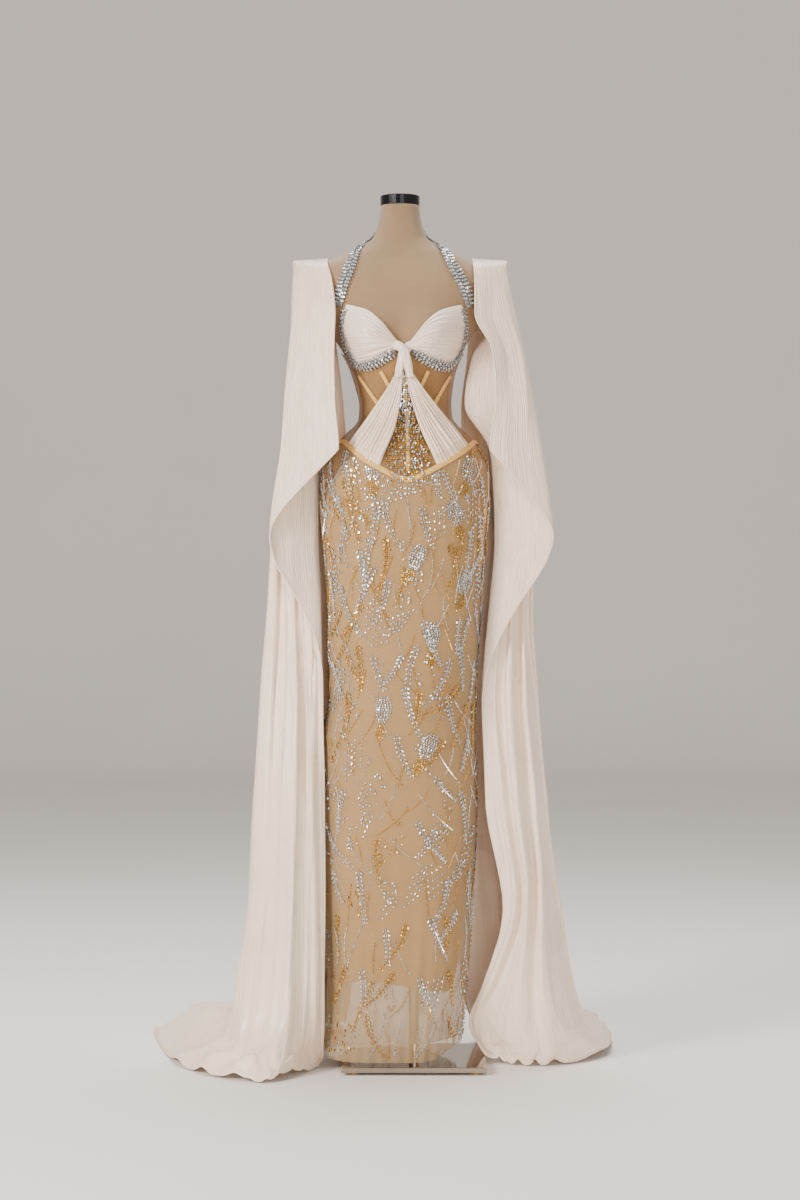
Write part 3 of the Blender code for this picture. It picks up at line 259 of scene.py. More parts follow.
# The heights of the sections, from the shoulder to the floor. For each side (1 is the wearer's left) there is
# a row for each section: every fold's reach from the centre line, then its depth. A fold that ends above the
# floor has its last rows only to guide its neighbours.
SLEEVE_HEIGHTS = (
    1.5278, 1.5146, 1.480, 1.415, 1.340, 1.250, 1.160, 1.000,
    0.860, 0.700, 0.500, 0.318, 0.180, 0.080, 0.024, 0.0035,
)
SLEEVE_SECTIONS = {
    1: {
        "x": (
            (0.139, 0.203, 0.203, 0.203, 0.203, 0.203, 0.172, 0.139),
            (0.139, 0.201, 0.203, 0.203, 0.202, 0.200, 0.175, 0.139),
            (0.141, 0.205, 0.199, 0.202, 0.205, 0.206, 0.178, 0.139),
            (0.141, 0.219, 0.188, 0.198, 0.212, 0.220, 0.185, 0.135),
            (0.174, 0.235, 0.136, 0.170, 0.210, 0.232, 0.190, 0.130),
            (0.180, 0.252, 0.122, 0.165, 0.215, 0.245, 0.195, 0.120),
            (0.168, 0.266, 0.170, 0.200, 0.232, 0.252, 0.195, 0.120),
            (0.168, 0.286, 0.181, 0.205, 0.235, 0.258, 0.195, 0.120),
            (0.168, 0.262, 0.170, 0.195, 0.225, 0.250, 0.195, 0.115),
            (0.168, 0.240, 0.158, 0.180, 0.225, 0.262, 0.200, 0.110),
            (0.168, 0.240, 0.160, 0.192, 0.236, 0.278, 0.210, 0.110),
            (0.168, 0.240, 0.185, 0.214, 0.250, 0.303, 0.225, 0.110),
            (0.168, 0.240, 0.160, 0.178, 0.248, 0.325, 0.250, 0.115),
            (0.168, 0.240, 0.125, 0.138, 0.252, 0.352, 0.300, 0.130),
            (0.168, 0.240, 0.150, 0.158, 0.258, 0.384, 0.370, 0.160),
            (0.168, 0.240, 0.170, 0.184, 0.267, 0.402, 0.420, 0.180),
        ),
        "y": (
            (0.000, 0.000, 0.000, 0.000, 0.000, 0.000, 0.000, 0.000),
            (-0.041, -0.022, 0.000, 0.006, 0.012, 0.022, 0.044, 0.047),
            (-0.070, -0.034, -0.005, 0.010, 0.022, 0.036, 0.066, 0.070),
            (-0.096, -0.050, -0.012, 0.008, 0.028, 0.046, 0.078, 0.088),
            (-0.104, -0.058, -0.018, 0.002, 0.028, 0.050, 0.088, 0.105),
            (-0.108, -0.064, -0.020, 0.000, 0.028, 0.053, 0.098, 0.118),
            (-0.115, -0.070, -0.018, 0.000, 0.030, 0.055, 0.108, 0.135),
            (-0.118, -0.074, -0.018, 0.000, 0.030, 0.055, 0.115, 0.148),
            (-0.118, -0.076, -0.020, -0.008, 0.018, 0.050, 0.118, 0.150),
            (-0.118, -0.078, -0.030, -0.022, -0.012, 0.040, 0.118, 0.150),
            (-0.118, -0.078, -0.040, -0.048, -0.042, 0.036, 0.122, 0.152),
            (-0.118, -0.078, -0.040, -0.052, -0.048, 0.032, 0.128, 0.158),
            (-0.118, -0.078, -0.020, -0.030, -0.052, 0.028, 0.145, 0.172),
            (-0.118, -0.078, 0.000, -0.005, -0.052, 0.034, 0.175, 0.205),
            (-0.118, -0.078, 0.005, 0.000, -0.046, 0.060, 0.222, 0.270),
            (-0.118, -0.078, 0.000, -0.009, -0.037, 0.090, 0.255, 0.320),
        ),
    },
    -1: {
        "x": (
            (0.139, 0.203, 0.203, 0.203, 0.203, 0.203, 0.172, 0.139),
            (0.138, 0.198, 0.203, 0.203, 0.202, 0.200, 0.175, 0.139),
            (0.129, 0.202, 0.199, 0.200, 0.202, 0.204, 0.178, 0.137),
            (0.122, 0.204, 0.188, 0.192, 0.200, 0.207, 0.183, 0.130),
            (0.124, 0.209, 0.150, 0.170, 0.192, 0.212, 0.185, 0.120),
            (0.122, 0.217, 0.150, 0.168, 0.192, 0.219, 0.188, 0.110),
            (0.115, 0.223, 0.158, 0.175, 0.200, 0.226, 0.190, 0.105),
            (0.115, 0.244, 0.158, 0.176, 0.210, 0.246, 0.200, 0.100),
            (0.115, 0.226, 0.149, 0.168, 0.205, 0.252, 0.210, 0.095),
            (0.115, 0.200, 0.147, 0.158, 0.200, 0.264, 0.215, 0.090),
            (0.115, 0.200, 0.140, 0.154, 0.200, 0.279, 0.225, 0.090),
            (0.115, 0.200, 0.137, 0.151, 0.205, 0.288, 0.235, 0.090),
            (0.115, 0.200, 0.136, 0.149, 0.212, 0.308, 0.260, 0.095),
            (0.115, 0.200, 0.136, 0.149, 0.222, 0.325, 0.320, 0.100),
            (0.115, 0.200, 0.140, 0.150, 0.236, 0.362, 0.420, 0.110),
            (0.115, 0.200, 0.147, 0.150, 0.247, 0.405, 0.500, 0.130),
        ),
        "y": (
            (0.000, 0.000, 0.000, 0.000, 0.000, 0.000, 0.000, 0.000),
            (-0.041, -0.022, 0.000, 0.006, 0.012, 0.022, 0.044, 0.047),
            (-0.070, -0.034, -0.005, 0.010, 0.022, 0.036, 0.066, 0.070),
            (-0.096, -0.050, -0.012, 0.006, 0.025, 0.045, 0.078, 0.088),
            (-0.104, -0.060, -0.015, 0.003, 0.022, 0.050, 0.088, 0.105),
            (-0.108, -0.066, -0.018, 0.002, 0.022, 0.053, 0.098, 0.118),
            (-0.115, -0.070, -0.018, 0.002, 0.022, 0.055, 0.108, 0.135),
            (-0.118, -0.075, -0.018, 0.000, 0.022, 0.050, 0.115, 0.148),
            (-0.118, -0.078, -0.030, -0.014, 0.000, 0.030, 0.120, 0.150),
            (-0.118, -0.080, -0.046, -0.036, -0.046, -0.005, 0.125, 0.150),
            (-0.118, -0.080, -0.068, -0.078, -0.100, -0.015, 0.135, 0.155),
            (-0.118, -0.080, -0.072, -0.082, -0.106, -0.022, 0.150, 0.165),
            (-0.118, -0.080, -0.072, -0.082, -0.116, -0.030, 0.180, 0.190),
            (-0.118, -0.080, -0.066, -0.076, -0.138, -0.040, 0.230, 0.250),
            (-0.118, -0.080, -0.050, -0.060, -0.184, -0.052, 0.310, 0.360),
            (-0.118, -0.080, -0.030, -0.040, -0.208, -0.062, 0.374, 0.440),
        ),
    },
}

# Where the sheet ends along the folds, as a level counted down through the sections above.
SLEEVE_HEM_COLUMNS = ("fold", "wearer_left", "wearer_right")
SLEEVE_HEM_ROWS = (
    (0.0, 6.0, 6.0),
    (1.0, 7.0, 7.0),
    (2.0, 9.0, 8.8),
    (2.4, 10.7, 10.4),
    (2.6, 11.6, 12.0),
    (2.8, 13.8, 14.0),
    (3.0, 15.0, 15.0),
    (7.0, 15.0, 15.0),
)


def column(columns, rows, name):
    """One named column of a table as an array."""
    return np.array([row[columns.index(name)] for row in rows], float)


def held_slopes(chords):
    """A slope at each knot: the harmonic mean of the chords beside it, or level where they disagree."""
    before, after = chords[:-1], chords[1:]
    same_way = before * after > 0
    mean = np.where(same_way, 2 * before * after / np.where(same_way, before + after, 1.0), 0.0)
    return np.concatenate([chords[:1], mean, chords[-1:]])


def cubic(t, low, high, low_slope, high_slope):
    """A cubic from one value to the next, with a slope at each end."""
    start = (1 + 2 * t) * (1 - t) ** 2 * low + t * (1 - t) ** 2 * low_slope
    end = t**2 * (3 - 2 * t) * high + t**2 * (t - 1) * high_slope
    return start + end


def smooth_curve(knots, values, at):
    """A curve through the table's points, whose slope is held between those of its neighbours."""
    knots, values = np.asarray(knots, float), np.asarray(values, float)
    at = np.clip(np.asarray(at, float), knots[0], knots[-1])
    steps = np.diff(knots)
    slopes = held_slopes(np.diff(values) / steps)
    index = np.clip(np.searchsorted(knots, at, side="right") - 1, 0, len(steps) - 1)
    width = steps[index]
    t = (at - knots[index]) / width
    return cubic(t, values[index], values[index + 1], width * slopes[index], width * slopes[index + 1])


def read(columns, rows, name, at):
    """A table's named column at one or more places of its first column."""
    return smooth_curve(column(columns, rows, columns[0]), column(columns, rows, name), at)


def centre_line(z):
    """The x of the gown's centre front at a height: the gown leans a little at the hips."""
    return read(CENTRE_COLUMNS, CENTRE_ROWS, "x", z)


def section(columns, rows, angle, z, out=0.0):
    """Points of a rounded section, moved out: the sine of the angle, raised to a power, goes across and its
    cosine goes deep. Angle 0 is the centre back and a quarter turn is the wearer's left."""
    centre = read(columns, rows, "centre", z)
    half, front, back = (read(columns, rows, name, z) + out for name in ("half_width", "front", "back"))
    power = 2 / SECTION_POWER
    side = np.sign(np.sin(angle)) * np.abs(np.sin(angle)) ** power
    depth = np.sign(np.cos(angle)) * np.abs(np.cos(angle)) ** power
    return np.stack([centre + half * side, np.where(depth > 0, back, front) * depth, z + 0 * side], -1)


def front_of(columns, rows, x, z, out=0.0):
    """The depth y of a section's front at a given x."""
    centre = read(columns, rows, "centre", z)
    half = read(columns, rows, "half_width", z)
    share = np.clip(np.abs(x - centre) / half, 0, 0.985)
    return -read(columns, rows, "front", z) * (1 - share**SECTION_POWER) ** (1 / SECTION_POWER) - out


def bust_swell(x, z):
    """How far the form's two plain bust rounds stand out in front."""
    across = (np.abs(x) - BUST_APEX_X) / BUST_WIDTH
    up = (z - BUST_APEX_Z) / BUST_HEIGHT
    return BUST_DEPTH * np.exp(-(across**2) - up**2)


def form_front(x, z, out=0.0):
    """The depth y of the dress form's front, moved out."""
    return front_of(FORM_COLUMNS, FORM_ROWS, x, z, out) - bust_swell(x, z)


def gown_front(x, z, out=0.0):
    """The depth y of the corset's front, moved out."""
    return front_of(GOWN_COLUMNS, GOWN_ROWS, x, z, out)


def seam_height(x, facing_front, centre):
    """The V seam: straight flanks from the sides down to a rounded point."""
    offset = np.sqrt((x - centre) ** 2 + SEAM_ROUNDING**2) - SEAM_ROUNDING
    share = np.clip(offset / SEAM_SPAN, 0, 1)
    low = np.where(facing_front, SEAM_FRONT_Z, SEAM_BACK_Z)
    return low + (SEAM_SIDE_Z - low) * share


def unit(vectors):
    """Vectors scaled to length one."""
    return vectors / np.maximum(np.linalg.norm(vectors, axis=-1, keepdims=True), 1e-9)


def facing(normals, away):
    """Normals turned to look the same way as the vectors in away."""
    return np.where(np.sum(normals * away, -1, keepdims=True) < 0, -normals, normals)


def travelled(path):
    """The length of a path up to each of its points."""
    return np.concatenate([[0.0], np.cumsum(np.linalg.norm(np.diff(path, axis=0), axis=1))])


def full_turn(sides):
    """Evenly spaced angles once round, as one row."""
    return np.linspace(0, 2 * math.pi, sides, endpoint=False)[None, :]


def ease(value):
    """A smooth step from 0 to 1."""
    value = np.clip(value, 0, 1)
    return value * value * (3 - 2 * value)


def evened(path, outward, width, count):
    """The same middle line with evenly spaced points."""
    run = travelled(path)
    at = np.linspace(0, run[-1], count)
    values = np.column_stack([path, outward, width])
    found = np.column_stack([smooth_curve(run, each, at) for each in values.T])
    return found[:, :3], unit(found[:, 3:6]), found[:, 6]


def surface_normals(point_at, first, second, step=0.0015):
    """Normals, towards the front, of a surface given as a function of two parameters."""
    one = point_at(first + step, second) - point_at(first - step, second)
    two = point_at(first, second + step) - point_at(first, second - step)
    normal = unit(np.cross(one, two))
    return np.where(normal[:, 1:2] > 0, -normal, normal)


def cup_point(side, along, up):
    """A point of a cup's plain form: along runs from its outer end to the knot, and up from its lower to its
    upper edge. It lies before the form and the corset, whichever is further out, and puffs in its middle."""
    names = ("upper_offset", "upper_z", "lower_offset", "lower_z")
    upper, upper_z, lower, lower_z = (read(CUP_COLUMNS, CUP_ROWS, name, along) for name in names)
    arch = 4 * up * (1 - up)
    offset = lower + (upper - lower) * up + CUP_SIDE_BULGE * arch * (1 - along) ** 2
    z = lower_z + (upper_z - lower_z) * up
    x = BUST_CENTRE + side * offset
    puff = CUP_PUFF * arch * np.sin(math.pi * np.clip(along, 0, 1)) ** 0.6
    over_corset = gown_front(x, np.minimum(z, GOWN_ROWS[-1][0]), CUP_OVER_CORSET)
    clear_of_corset = over_corset + np.clip(z - CORSET_LEAVES_Z, 0, 1) * CUP_LEAVES_SLOPE
    y = np.minimum(form_front(x, z, CUP_OUT), clear_of_corset) - puff
    return np.stack([x, y, z], -1)


def streamer_point(side, along, across):
    """A point of a streamer's plain form: along runs from the knot to the seam, and across from its inner to
    its outer edge. It stands out from the corset most half way down."""
    names = ("outer_offset", "outer_z", "inner_offset", "inner_z")
    outer, outer_z, inner, inner_z = (read(STREAMER_COLUMNS, STREAMER_ROWS, name, along) for name in names)
    z = inner_z + (outer_z - inner_z) * across
    x = centre_line(z) + side * (inner + (outer - inner) * across)
    bridge = STREAMER_BRIDGE * np.sin(math.pi * np.clip(along, 0, 1)) ** 0.8
    seat = STREAMER_OUT - (STREAMER_OUT - STREAMER_TOP_OUT) * np.clip(1 - 6 * along, 0, 1)
    return np.stack([x, gown_front(x, z, seat + bridge), z], -1)


def gown_normal(x, z):
    """The outward normal of the corset's front."""

    def point(first, second):
        return np.stack([first, gown_front(first, second), second], -1)

    return surface_normals(point, np.asarray(x, float), np.asarray(z, float))


def form_point(angle, z, out=0.0):
    """A point on the dress form by its turn from the centre back and its height."""
    point = section(FORM_COLUMNS, FORM_ROWS, angle, z, out)
    point[..., 1] -= bust_swell(point[..., 0], z) * np.clip(-np.cos(angle), 0, 1) ** 0.5
    return point


def form_normal(angle, z, step=0.004):
    """The form's outward normal by turn and height."""
    beside = form_point(angle + step, z) - form_point(angle - step, z)
    above = form_point(angle, z + step) - form_point(angle, z - step)
    return facing(unit(np.cross(beside, above)), form_point(angle, z) * LEVEL)


def strap_side(side):
    """The strap's middle line on one side, from the cup to the nape, with its outward direction and width."""
    share = np.linspace(0, 1, 11)
    knots = np.linspace(0, 1, len(STRAP_ROWS))
    strap = [column(STRAP_COLUMNS, STRAP_ROWS, name) for name in STRAP_COLUMNS]
    offset, z, width = (smooth_curve(knots, values, share) for values in strap)
    offset = offset + side * STRAP_LEAN * np.clip((STRAP_ROWS[-2][1] - z) / STRAP_LEAN_SPAN, 0, 1)
    part = np.clip(offset / read(FORM_COLUMNS, FORM_ROWS, "half_width", z), 0, 0.99)
    turn = math.pi - np.arcsin(part ** (SECTION_POWER / 2))
    share = np.linspace(0, 1, 6)
    knots = np.linspace(0, 1, len(NAPE_ROWS))
    nape = [column(NAPE_COLUMNS, NAPE_ROWS, name) for name in NAPE_COLUMNS]
    round_turn, high, narrow = (smooth_curve(knots, values, share) for values in nape)
    turn = side * np.concatenate([turn, np.radians(round_turn)])
    z = np.concatenate([z, high])
    normal = form_normal(turn, z)
    return form_point(turn, z) + normal * STRAP_OUT, normal, np.concatenate([width, narrow])


def smooth_between(lines, fold):
    """Values between the fold lines, on the curve of smooth_curve with knots one apart."""
    slopes = held_slopes(np.diff(lines, axis=0))
    index = np.clip(np.floor(fold).astype(int), 0, len(lines) - 2)
    pick = tuple(np.indices(fold.shape))
    low, high = (index, *pick), (index + 1, *pick)
    return cubic(fold - index, lines[low], lines[high], slopes[low], slopes[high])


def sleeve_point(side, fold, level):
    """A point of a cape sleeve by its place between the named folds and its level between the sections, with
    even waves across the folds that deepen downwards."""
    levels = np.arange(len(SLEEVE_HEIGHTS))
    found = []
    for axis in ("x", "y"):
        rows = np.array(SLEEVE_SECTIONS[side][axis])
        lines = np.stack([smooth_curve(levels, rows[:, n], level) for n in range(len(SLEEVE_FOLDS))])
        found.append(smooth_between(lines, fold))
    z = smooth_curve(levels, SLEEVE_HEIGHTS, level)
    wave = np.cos(2 * math.pi * fold * SLEEVE_WAVES_PER_FOLD + side)
    below = np.clip(level / SLEEVE_WAVES_FULL_LEVEL - 0.25, 0, 1)
    deep = SLEEVE_WAVE_DEPTH * below * np.clip(fold - SLEEVE_WAVES_FROM_FOLD, 0, 1)
    settle = np.clip(z / SLEEVE_SETTLE_Z, 0.25, 1)
    return np.stack([side * found[0], found[1] + wave * deep * settle, z], -1)


def cup_rim(side):
    """The trim's middle line and outward direction, down the cup's outer side and along its lower edge."""
    down_side, along_edge = 7, 10
    along = np.concatenate([np.full(down_side, 0.02), np.linspace(0.13, 0.93, along_edge)])
    up = np.concatenate([np.linspace(0.93, 0.16, down_side), np.zeros(along_edge)])

    def point(first, second):
        return cup_point(side, first, second)

    normal = surface_normals(point, along, up, 0.02)
    drop = np.array([0.0, 0.0, -CUP_TRIM_DROP]) * (up < 0.1)[:, None]
    return point(along, up) + drop + normal * CUP_TRIM_OUT, normal


# Numbers of points along and across each finer surface.
FORM_GRID = (150, 144)
CORSET_GRID = (60, 200)
SKIRT_GRID = (170, 260)
LINING_GRID = (120, 220)
CUP_GRID = (60, 170)
STREAMER_GRID = (70, 170)
KNOT_GRID = (60, 64)
SLEEVE_FINE_STEPS = (36, 20, 24, 24, 26, 18, 18)
SLEEVE_ROWS_PER_LEVEL = (9, 6, 8, 9, 10, 10, 14, 13, 15, 18, 16, 13, 12, 12, 9)
HEM_SIDES = 8
BINDING_STEPS = 260
BONING_STEPS = 40
STRAP_STEPS = 260
CUP_TRIM_STEPS = 70

# The least share of its width by length that a sheet is taken to fill.
LEAST_FILL = 0.45

# The listed creases of the sleeves. Each row: the fold at its upper and its lower end, the heights of those
# ends, how far it stands out (a valley is negative), and its half width in folds.
SLEEVE_CREASES = {
    1: (
        (0.45, 0.20, 1.500, 1.210, -0.0050, 0.16),
        (0.72, 0.60, 1.490, 1.160, 0.0055, 0.13),
        (0.95, 1.25, 1.470, 1.120, -0.0045, 0.12),
        (1.55, 1.75, 1.440, 1.000, 0.0050, 0.12),
        (2.25, 2.45, 1.400, 0.760, -0.0060, 0.16),
        (2.70, 2.80, 1.300, 0.420, 0.0045, 0.10),
        (3.10, 3.20, 1.250, 0.560, -0.0050, 0.13),
        (3.45, 3.72, 1.180, 0.300, 0.0060, 0.09),
        (3.95, 4.05, 1.100, 0.480, -0.0055, 0.12),
        (4.35, 4.20, 0.940, 0.020, 0.0085, 0.06),
        (4.40, 4.48, 0.560, 0.080, -0.0060, 0.07),
        (4.70, 4.62, 1.300, 0.260, -0.0060, 0.11),
        (4.86, 4.90, 0.700, 0.160, 0.0050, 0.06),
        (5.20, 5.10, 1.350, 0.420, 0.0060, 0.12),
        (5.55, 5.65, 1.300, 0.180, -0.0075, 0.13),
        (5.90, 6.00, 1.260, 0.100, 0.0070, 0.11),
        (6.25, 6.30, 1.300, 0.350, -0.0060, 0.12),
        (6.60, 6.62, 1.350, 0.220, 0.0060, 0.10),
    ),
    -1: (
        (0.40, 0.25, 1.500, 1.230, -0.0045, 0.15),
        (0.75, 0.66, 1.480, 1.150, 0.0055, 0.12),
        (0.98, 1.18, 1.460, 1.100, -0.0045, 0.13),
        (1.50, 1.66, 1.430, 1.020, 0.0045, 0.12),
        (2.20, 2.40, 1.380, 0.800, -0.0050, 0.15),
        (2.62, 3.10, 0.925, 0.690, 0.0070, 0.07),
        (2.78, 3.35, 0.900, 0.640, -0.0055, 0.08),
        (3.42, 3.52, 1.280, 0.060, 0.0080, 0.08),
        (3.72, 3.78, 0.980, 0.120, -0.0070, 0.08),
        (4.12, 4.20, 1.250, 0.040, 0.0075, 0.07),
        (4.42, 4.46, 1.180, 0.050, -0.0100, 0.10),
        (4.72, 4.78, 1.100, 0.090, 0.0060, 0.07),
        (4.95, 5.02, 1.320, 0.150, -0.0055, 0.07),
        (5.15, 5.22, 1.330, 0.300, 0.0065, 0.10),
        (5.50, 5.42, 1.300, 0.120, -0.0070, 0.12),
        (5.82, 5.90, 1.250, 0.200, 0.0070, 0.11),
        (6.15, 6.20, 1.310, 0.080, -0.0065, 0.13),
        (6.55, 6.50, 1.340, 0.280, 0.0060, 0.11),
    ),
}

# Swells of the loose cloth on the floor: fold, level, half width in folds, half length in levels, and rise.
FLOOR_PUFFS = {
    1: (
        (5.30, 13.9, 0.42, 0.75, 0.042),
        (6.05, 13.6, 0.40, 0.60, 0.026),
        (4.45, 14.2, 0.22, 0.50, 0.018),
        (3.60, 14.1, 0.25, 0.45, 0.012),
        (5.85, 14.6, 0.20, 0.30, 0.020),
        (6.60, 13.9, 0.25, 0.55, 0.022),
    ),
    -1: (
        (5.60, 13.7, 0.35, 0.70, 0.030),
        (6.15, 14.0, 0.28, 0.55, 0.026),
        (4.30, 14.3, 0.20, 0.45, 0.016),
        (3.55, 14.2, 0.22, 0.40, 0.012),
        (4.85, 14.2, 0.18, 0.50, 0.018),
        (6.70, 13.8, 0.22, 0.60, 0.022),
    ),
}

# A strand of the knot: how far along it, its reach from the middle, height, depth before the form and radius.
STRAND_ROWS = (
    (0.00, 0.0230, 1.3560, 0.0110, 0.0062),
    (0.22, 0.0110, 1.3530, 0.0200, 0.0080),
    (0.50, -0.0010, 1.3400, 0.0250, 0.0078),
    (0.75, -0.0065, 1.3200, 0.0215, 0.0072),
    (1.00, -0.0115, 1.2960, 0.0135, 0.0058),
)
STRAND_UNDER = 0.0110
STRAND_TWIST = 3.4
STRAND_PLEATS = 5
STRAND_FLATNESS = 0.8

# The depths of the cups' and the streamers' pleats, and of the finer ones between the cups'.
CUP_PLEAT_DEPTH = 0.0034
CUP_FINE_PLEAT_DEPTH = 0.0006
CUP_FINE_PLEATS = 2.1
STREAMER_PLEAT_DEPTH = 0.0058
STREAMER_TUCK_OUT = 0.0011
STREAMER_SLOPE_FROM = 0.97

# The wide and the narrow swells where the train meets the floor: their height, and how many to a fold.
TRAIN_FROM_LEVEL = 12.3
TRAIN_LEVELS = 1.4
TRAIN_WIDE = (0.011, 1.7)
TRAIN_NARROW = (0.005, 4.3)
LOWEST_CLOTH_Z = 0.0022

# The ripples near the skirt's hem and the lining's soft folds: how deep, how many, and from what height.
RIPPLE_DEPTH = 0.0016
RIPPLES = 31
RIPPLES_START_Z = 0.34
LINING_FOLD_DEPTH = 0.0045
LINING_FOLDS = 15
LINING_FOLDS_START_Z = 0.80
LINING_FOLDS_GROW = 0.55
LINING_BELOW_SEAM = 0.004
LINING_EDGE_WAVE = 0.012

# Distances under which a piece's doubled points are joined.
WELD = 0.00002
SHEET_WELD = 0.00004
FORM_WELD = 0.0002

# The stones of one step of the crystal braid: side, slant from the band's run, offset and length as shares of
# the band's width, width as a share of the length, and shape.
BRAID_STONES = (
    (1, 0.55, 0.19, 0.42, 0.48, 0),
    (-1, 0.55, 0.19, 0.42, 0.48, 0),
    (1, 1.10, 0.40, 0.38, 0.48, 0),
    (-1, 1.10, 0.40, 0.38, 0.48, 0),
    (1, 0.0, 0.02, 0.26, 1.0, 2),
    (1, 0.3, 0.33, 0.15, 1.0, 2),
    (-1, 0.3, 0.33, 0.15, 1.0, 2),
)

# How far a stone's tilt strays, its table's share of its girdle, its height as a share of its width, and the
# girdle's share of that height.
STONE_TILT = 0.13
STONE_TABLE = 0.64
STONE_HEIGHT = 0.42
STONE_GIRDLE = 0.12
BEAD_LIFT = 0.0008

# The embroidery's seed, how far its stones stand out, where it starts and ends on the skirt and at the knot,
# and how far it keeps from the seam and the hem.
EMBROIDERY_SEED = 41
STONES_OUT = 0.0007
SKIRT_TOP_Z = 1.160
SKIRT_LOW_Z = 0.10
BODICE_TOP_Z = 1.302
BODICE_LOW_Z = 1.100
BODICE_ROW_STEP = 0.0042
BODICE_STONE_STEP = 0.0050
BODICE_OUT = 0.0034
CLEAR_OF_EDGES = 0.008

# Sides of the gown by name, as the sign of x.
SIDES = {"left": 1, "right": -1}

# The narrow hems of the lining and the tulle.
LINING_HEM_LIFT = 0.0006
LINING_HEM_RADIUS = 0.0009
TULLE_HEM_RADIUS = 0.0008

# The stone ornaments' beads, and the lengths of the dense oval and its gold tuft.
BEAD_RADIUS = 0.0016
BEAD_STEP = 0.0032
CONE_LENGTH = 0.050
TUFT_LENGTH = 0.032

# The studio: the floor's front and the start of its rise, the wall's height and half its width.
STUDIO_FLOOR_Y = (-9.0, 8.0)
STUDIO_WALL_HEIGHT = 4.0
STUDIO_HALF_WIDTH = 10.0

# The lamps: name, place, height of the point that each faces, size and colour.
LIGHTS = (
    ("key_light", (-3.3, -3.3, 2.5), 0.9, (1.3, 1.6), (1.0, 0.96, 0.90)),
    ("fill_light", (0.9, -5.2, 1.2), 0.8, (1.8, 2.0), (1.0, 0.97, 0.92)),
    ("top_light", (0.2, 0.8, 3.6), 0.8, (2.0, 1.6), (1.0, 0.98, 0.96)),
)


def length_setting(name, description, default):
    """A length that shows in the panel."""
    return bpy.props.FloatProperty(
        name=name, description=description, default=default, unit="LENGTH", precision=4
    )


def number_setting(name, description, default):
    """A plain number that shows in the panel."""
    return bpy.props.FloatProperty(name=name, description=description, default=default)


def count_setting(name, description, default):
    """A whole number that shows in the panel."""
    return bpy.props.IntProperty(name=name, description=description, default=default, min=2)


def colour_setting(name, description, default):
    """A colour that shows in the panel."""
    return bpy.props.FloatVectorProperty(
        name=name, description=description, default=default, subtype="COLOR", size=3, min=0.0, max=1.0
    )


class GownSizes(bpy.types.PropertyGroup):
    """The sizes that a maker would change."""

    satin_wall: length_setting("Satin wall", "Thickness of the satin", 0.0014)
    hem_radius: length_setting("Rolled hem", "Radius of the rolled hems", 0.0016)
    fine_folds: length_setting("Fine folds", "Depth of the sleeves' small folds", 0.0030)
    cup_pleats: count_setting("Cup pleats", "Number of pleats gathered from each cup", 10)
    streamer_pleats: count_setting("Streamer pleats", "Number of pleats in each streamer", 9)
    stone_length: length_setting("Stone length", "Length of a pointed stone", 0.0098)
    braid_step: length_setting("Braid step", "Distance between the strap's pairs of stones", 0.0074)
    strap_braid: number_setting("Strap braid", "Width of the strap's stones against its band", 1.25)
    trim_braid: number_setting("Trim braid", "Width of the cup trim's stones against its band", 1.75)
    spray_rows: count_setting("Spray rows", "Rows of embroidered sprays down the skirt", 15)


class GownColours(bpy.types.PropertyGroup):
    """The colours of the cloths, metals and stones."""

    # The satin's warm peach tone is partly its own ivory and partly a painted warm bounce light from the
    # room.
    satin: colour_setting("Satin", "Ivory satin of the sleeves and streamers", (0.95, 0.75, 0.59))
    cup_satin: colour_setting("Cup satin", "Satin of the cups and the knot", (0.91, 0.735, 0.61))
    mesh: colour_setting("Mesh", "Sheer mesh of the corset", (0.47, 0.245, 0.085))
    tulle: colour_setting("Tulle", "Sheer tulle of the skirt", (0.50, 0.33, 0.16))
    lining: colour_setting("Lining", "Gold lining under the tulle", (0.64, 0.305, 0.055))
    tape: colour_setting("Tape", "Binding and boning tape", (0.82, 0.47, 0.12))
    linen: colour_setting("Linen", "Linen cover of the dress form", (0.31, 0.19, 0.09))
    silver: colour_setting("Silver stones", "Silver crystals", (1.0, 1.0, 1.0))
    gold: colour_setting("Gold stones", "Gold crystals", (1.0, 0.52, 0.07))
    # The steel's grey is its own. Its warm brown tint is a painted reflection of the warm room round the
    # stand.
    steel: colour_setting("Steel", "Mirror steel of the stand", (0.42, 0.35, 0.28))
    cap: colour_setting("Cap", "Dark metal of the neck cap", (0.045, 0.045, 0.05))
    rubber: colour_setting("Pads", "Pads under the plate", (0.62, 0.40, 0.08))


class StageSettings(bpy.types.PropertyGroup):
    """The camera, the floor and the lights."""

    lens: number_setting("Lens", "Focal length in millimetres", 78.95)
    camera_height: length_setting("Camera height", "Height of the camera", 0.88)
    camera_distance: length_setting("Camera distance", "Distance from the gown's middle", 5.0)
    floor_colour: colour_setting("Floor", "Pale floor and backdrop", (0.88, 0.835, 0.79))
    key_power: number_setting("Key light", "Power of the main light", 300.0)
    fill_power: number_setting("Fill light", "Power of the fill light and the top light", 125.0)
    world_strength: number_setting("Room light", "Strength of the room's light", 0.55)


def new_node(tree, kind, at, **settings):
    """A shader node at a place in the tree, with its settings."""
    made = tree.nodes.new(kind)
    made.location = at
    for name, value in settings.items():
        setattr(made, name, value)
    return made


def start_group(name, inputs, outputs):
    """A node group with named sockets, and its input and output nodes."""
    tree = bpy.data.node_groups.new(name, "ShaderNodeTree")
    for title, kind, default in inputs:
        socket = tree.interface.new_socket(name=title, in_out="INPUT", socket_type=kind)
        if default is not None:
            socket.default_value = default
    for title, kind in outputs:
        tree.interface.new_socket(name=title, in_out="OUTPUT", socket_type=kind)
    return tree, new_node(tree, "NodeGroupInput", (-900, 0)), new_node(tree, "NodeGroupOutput", (700, 0))


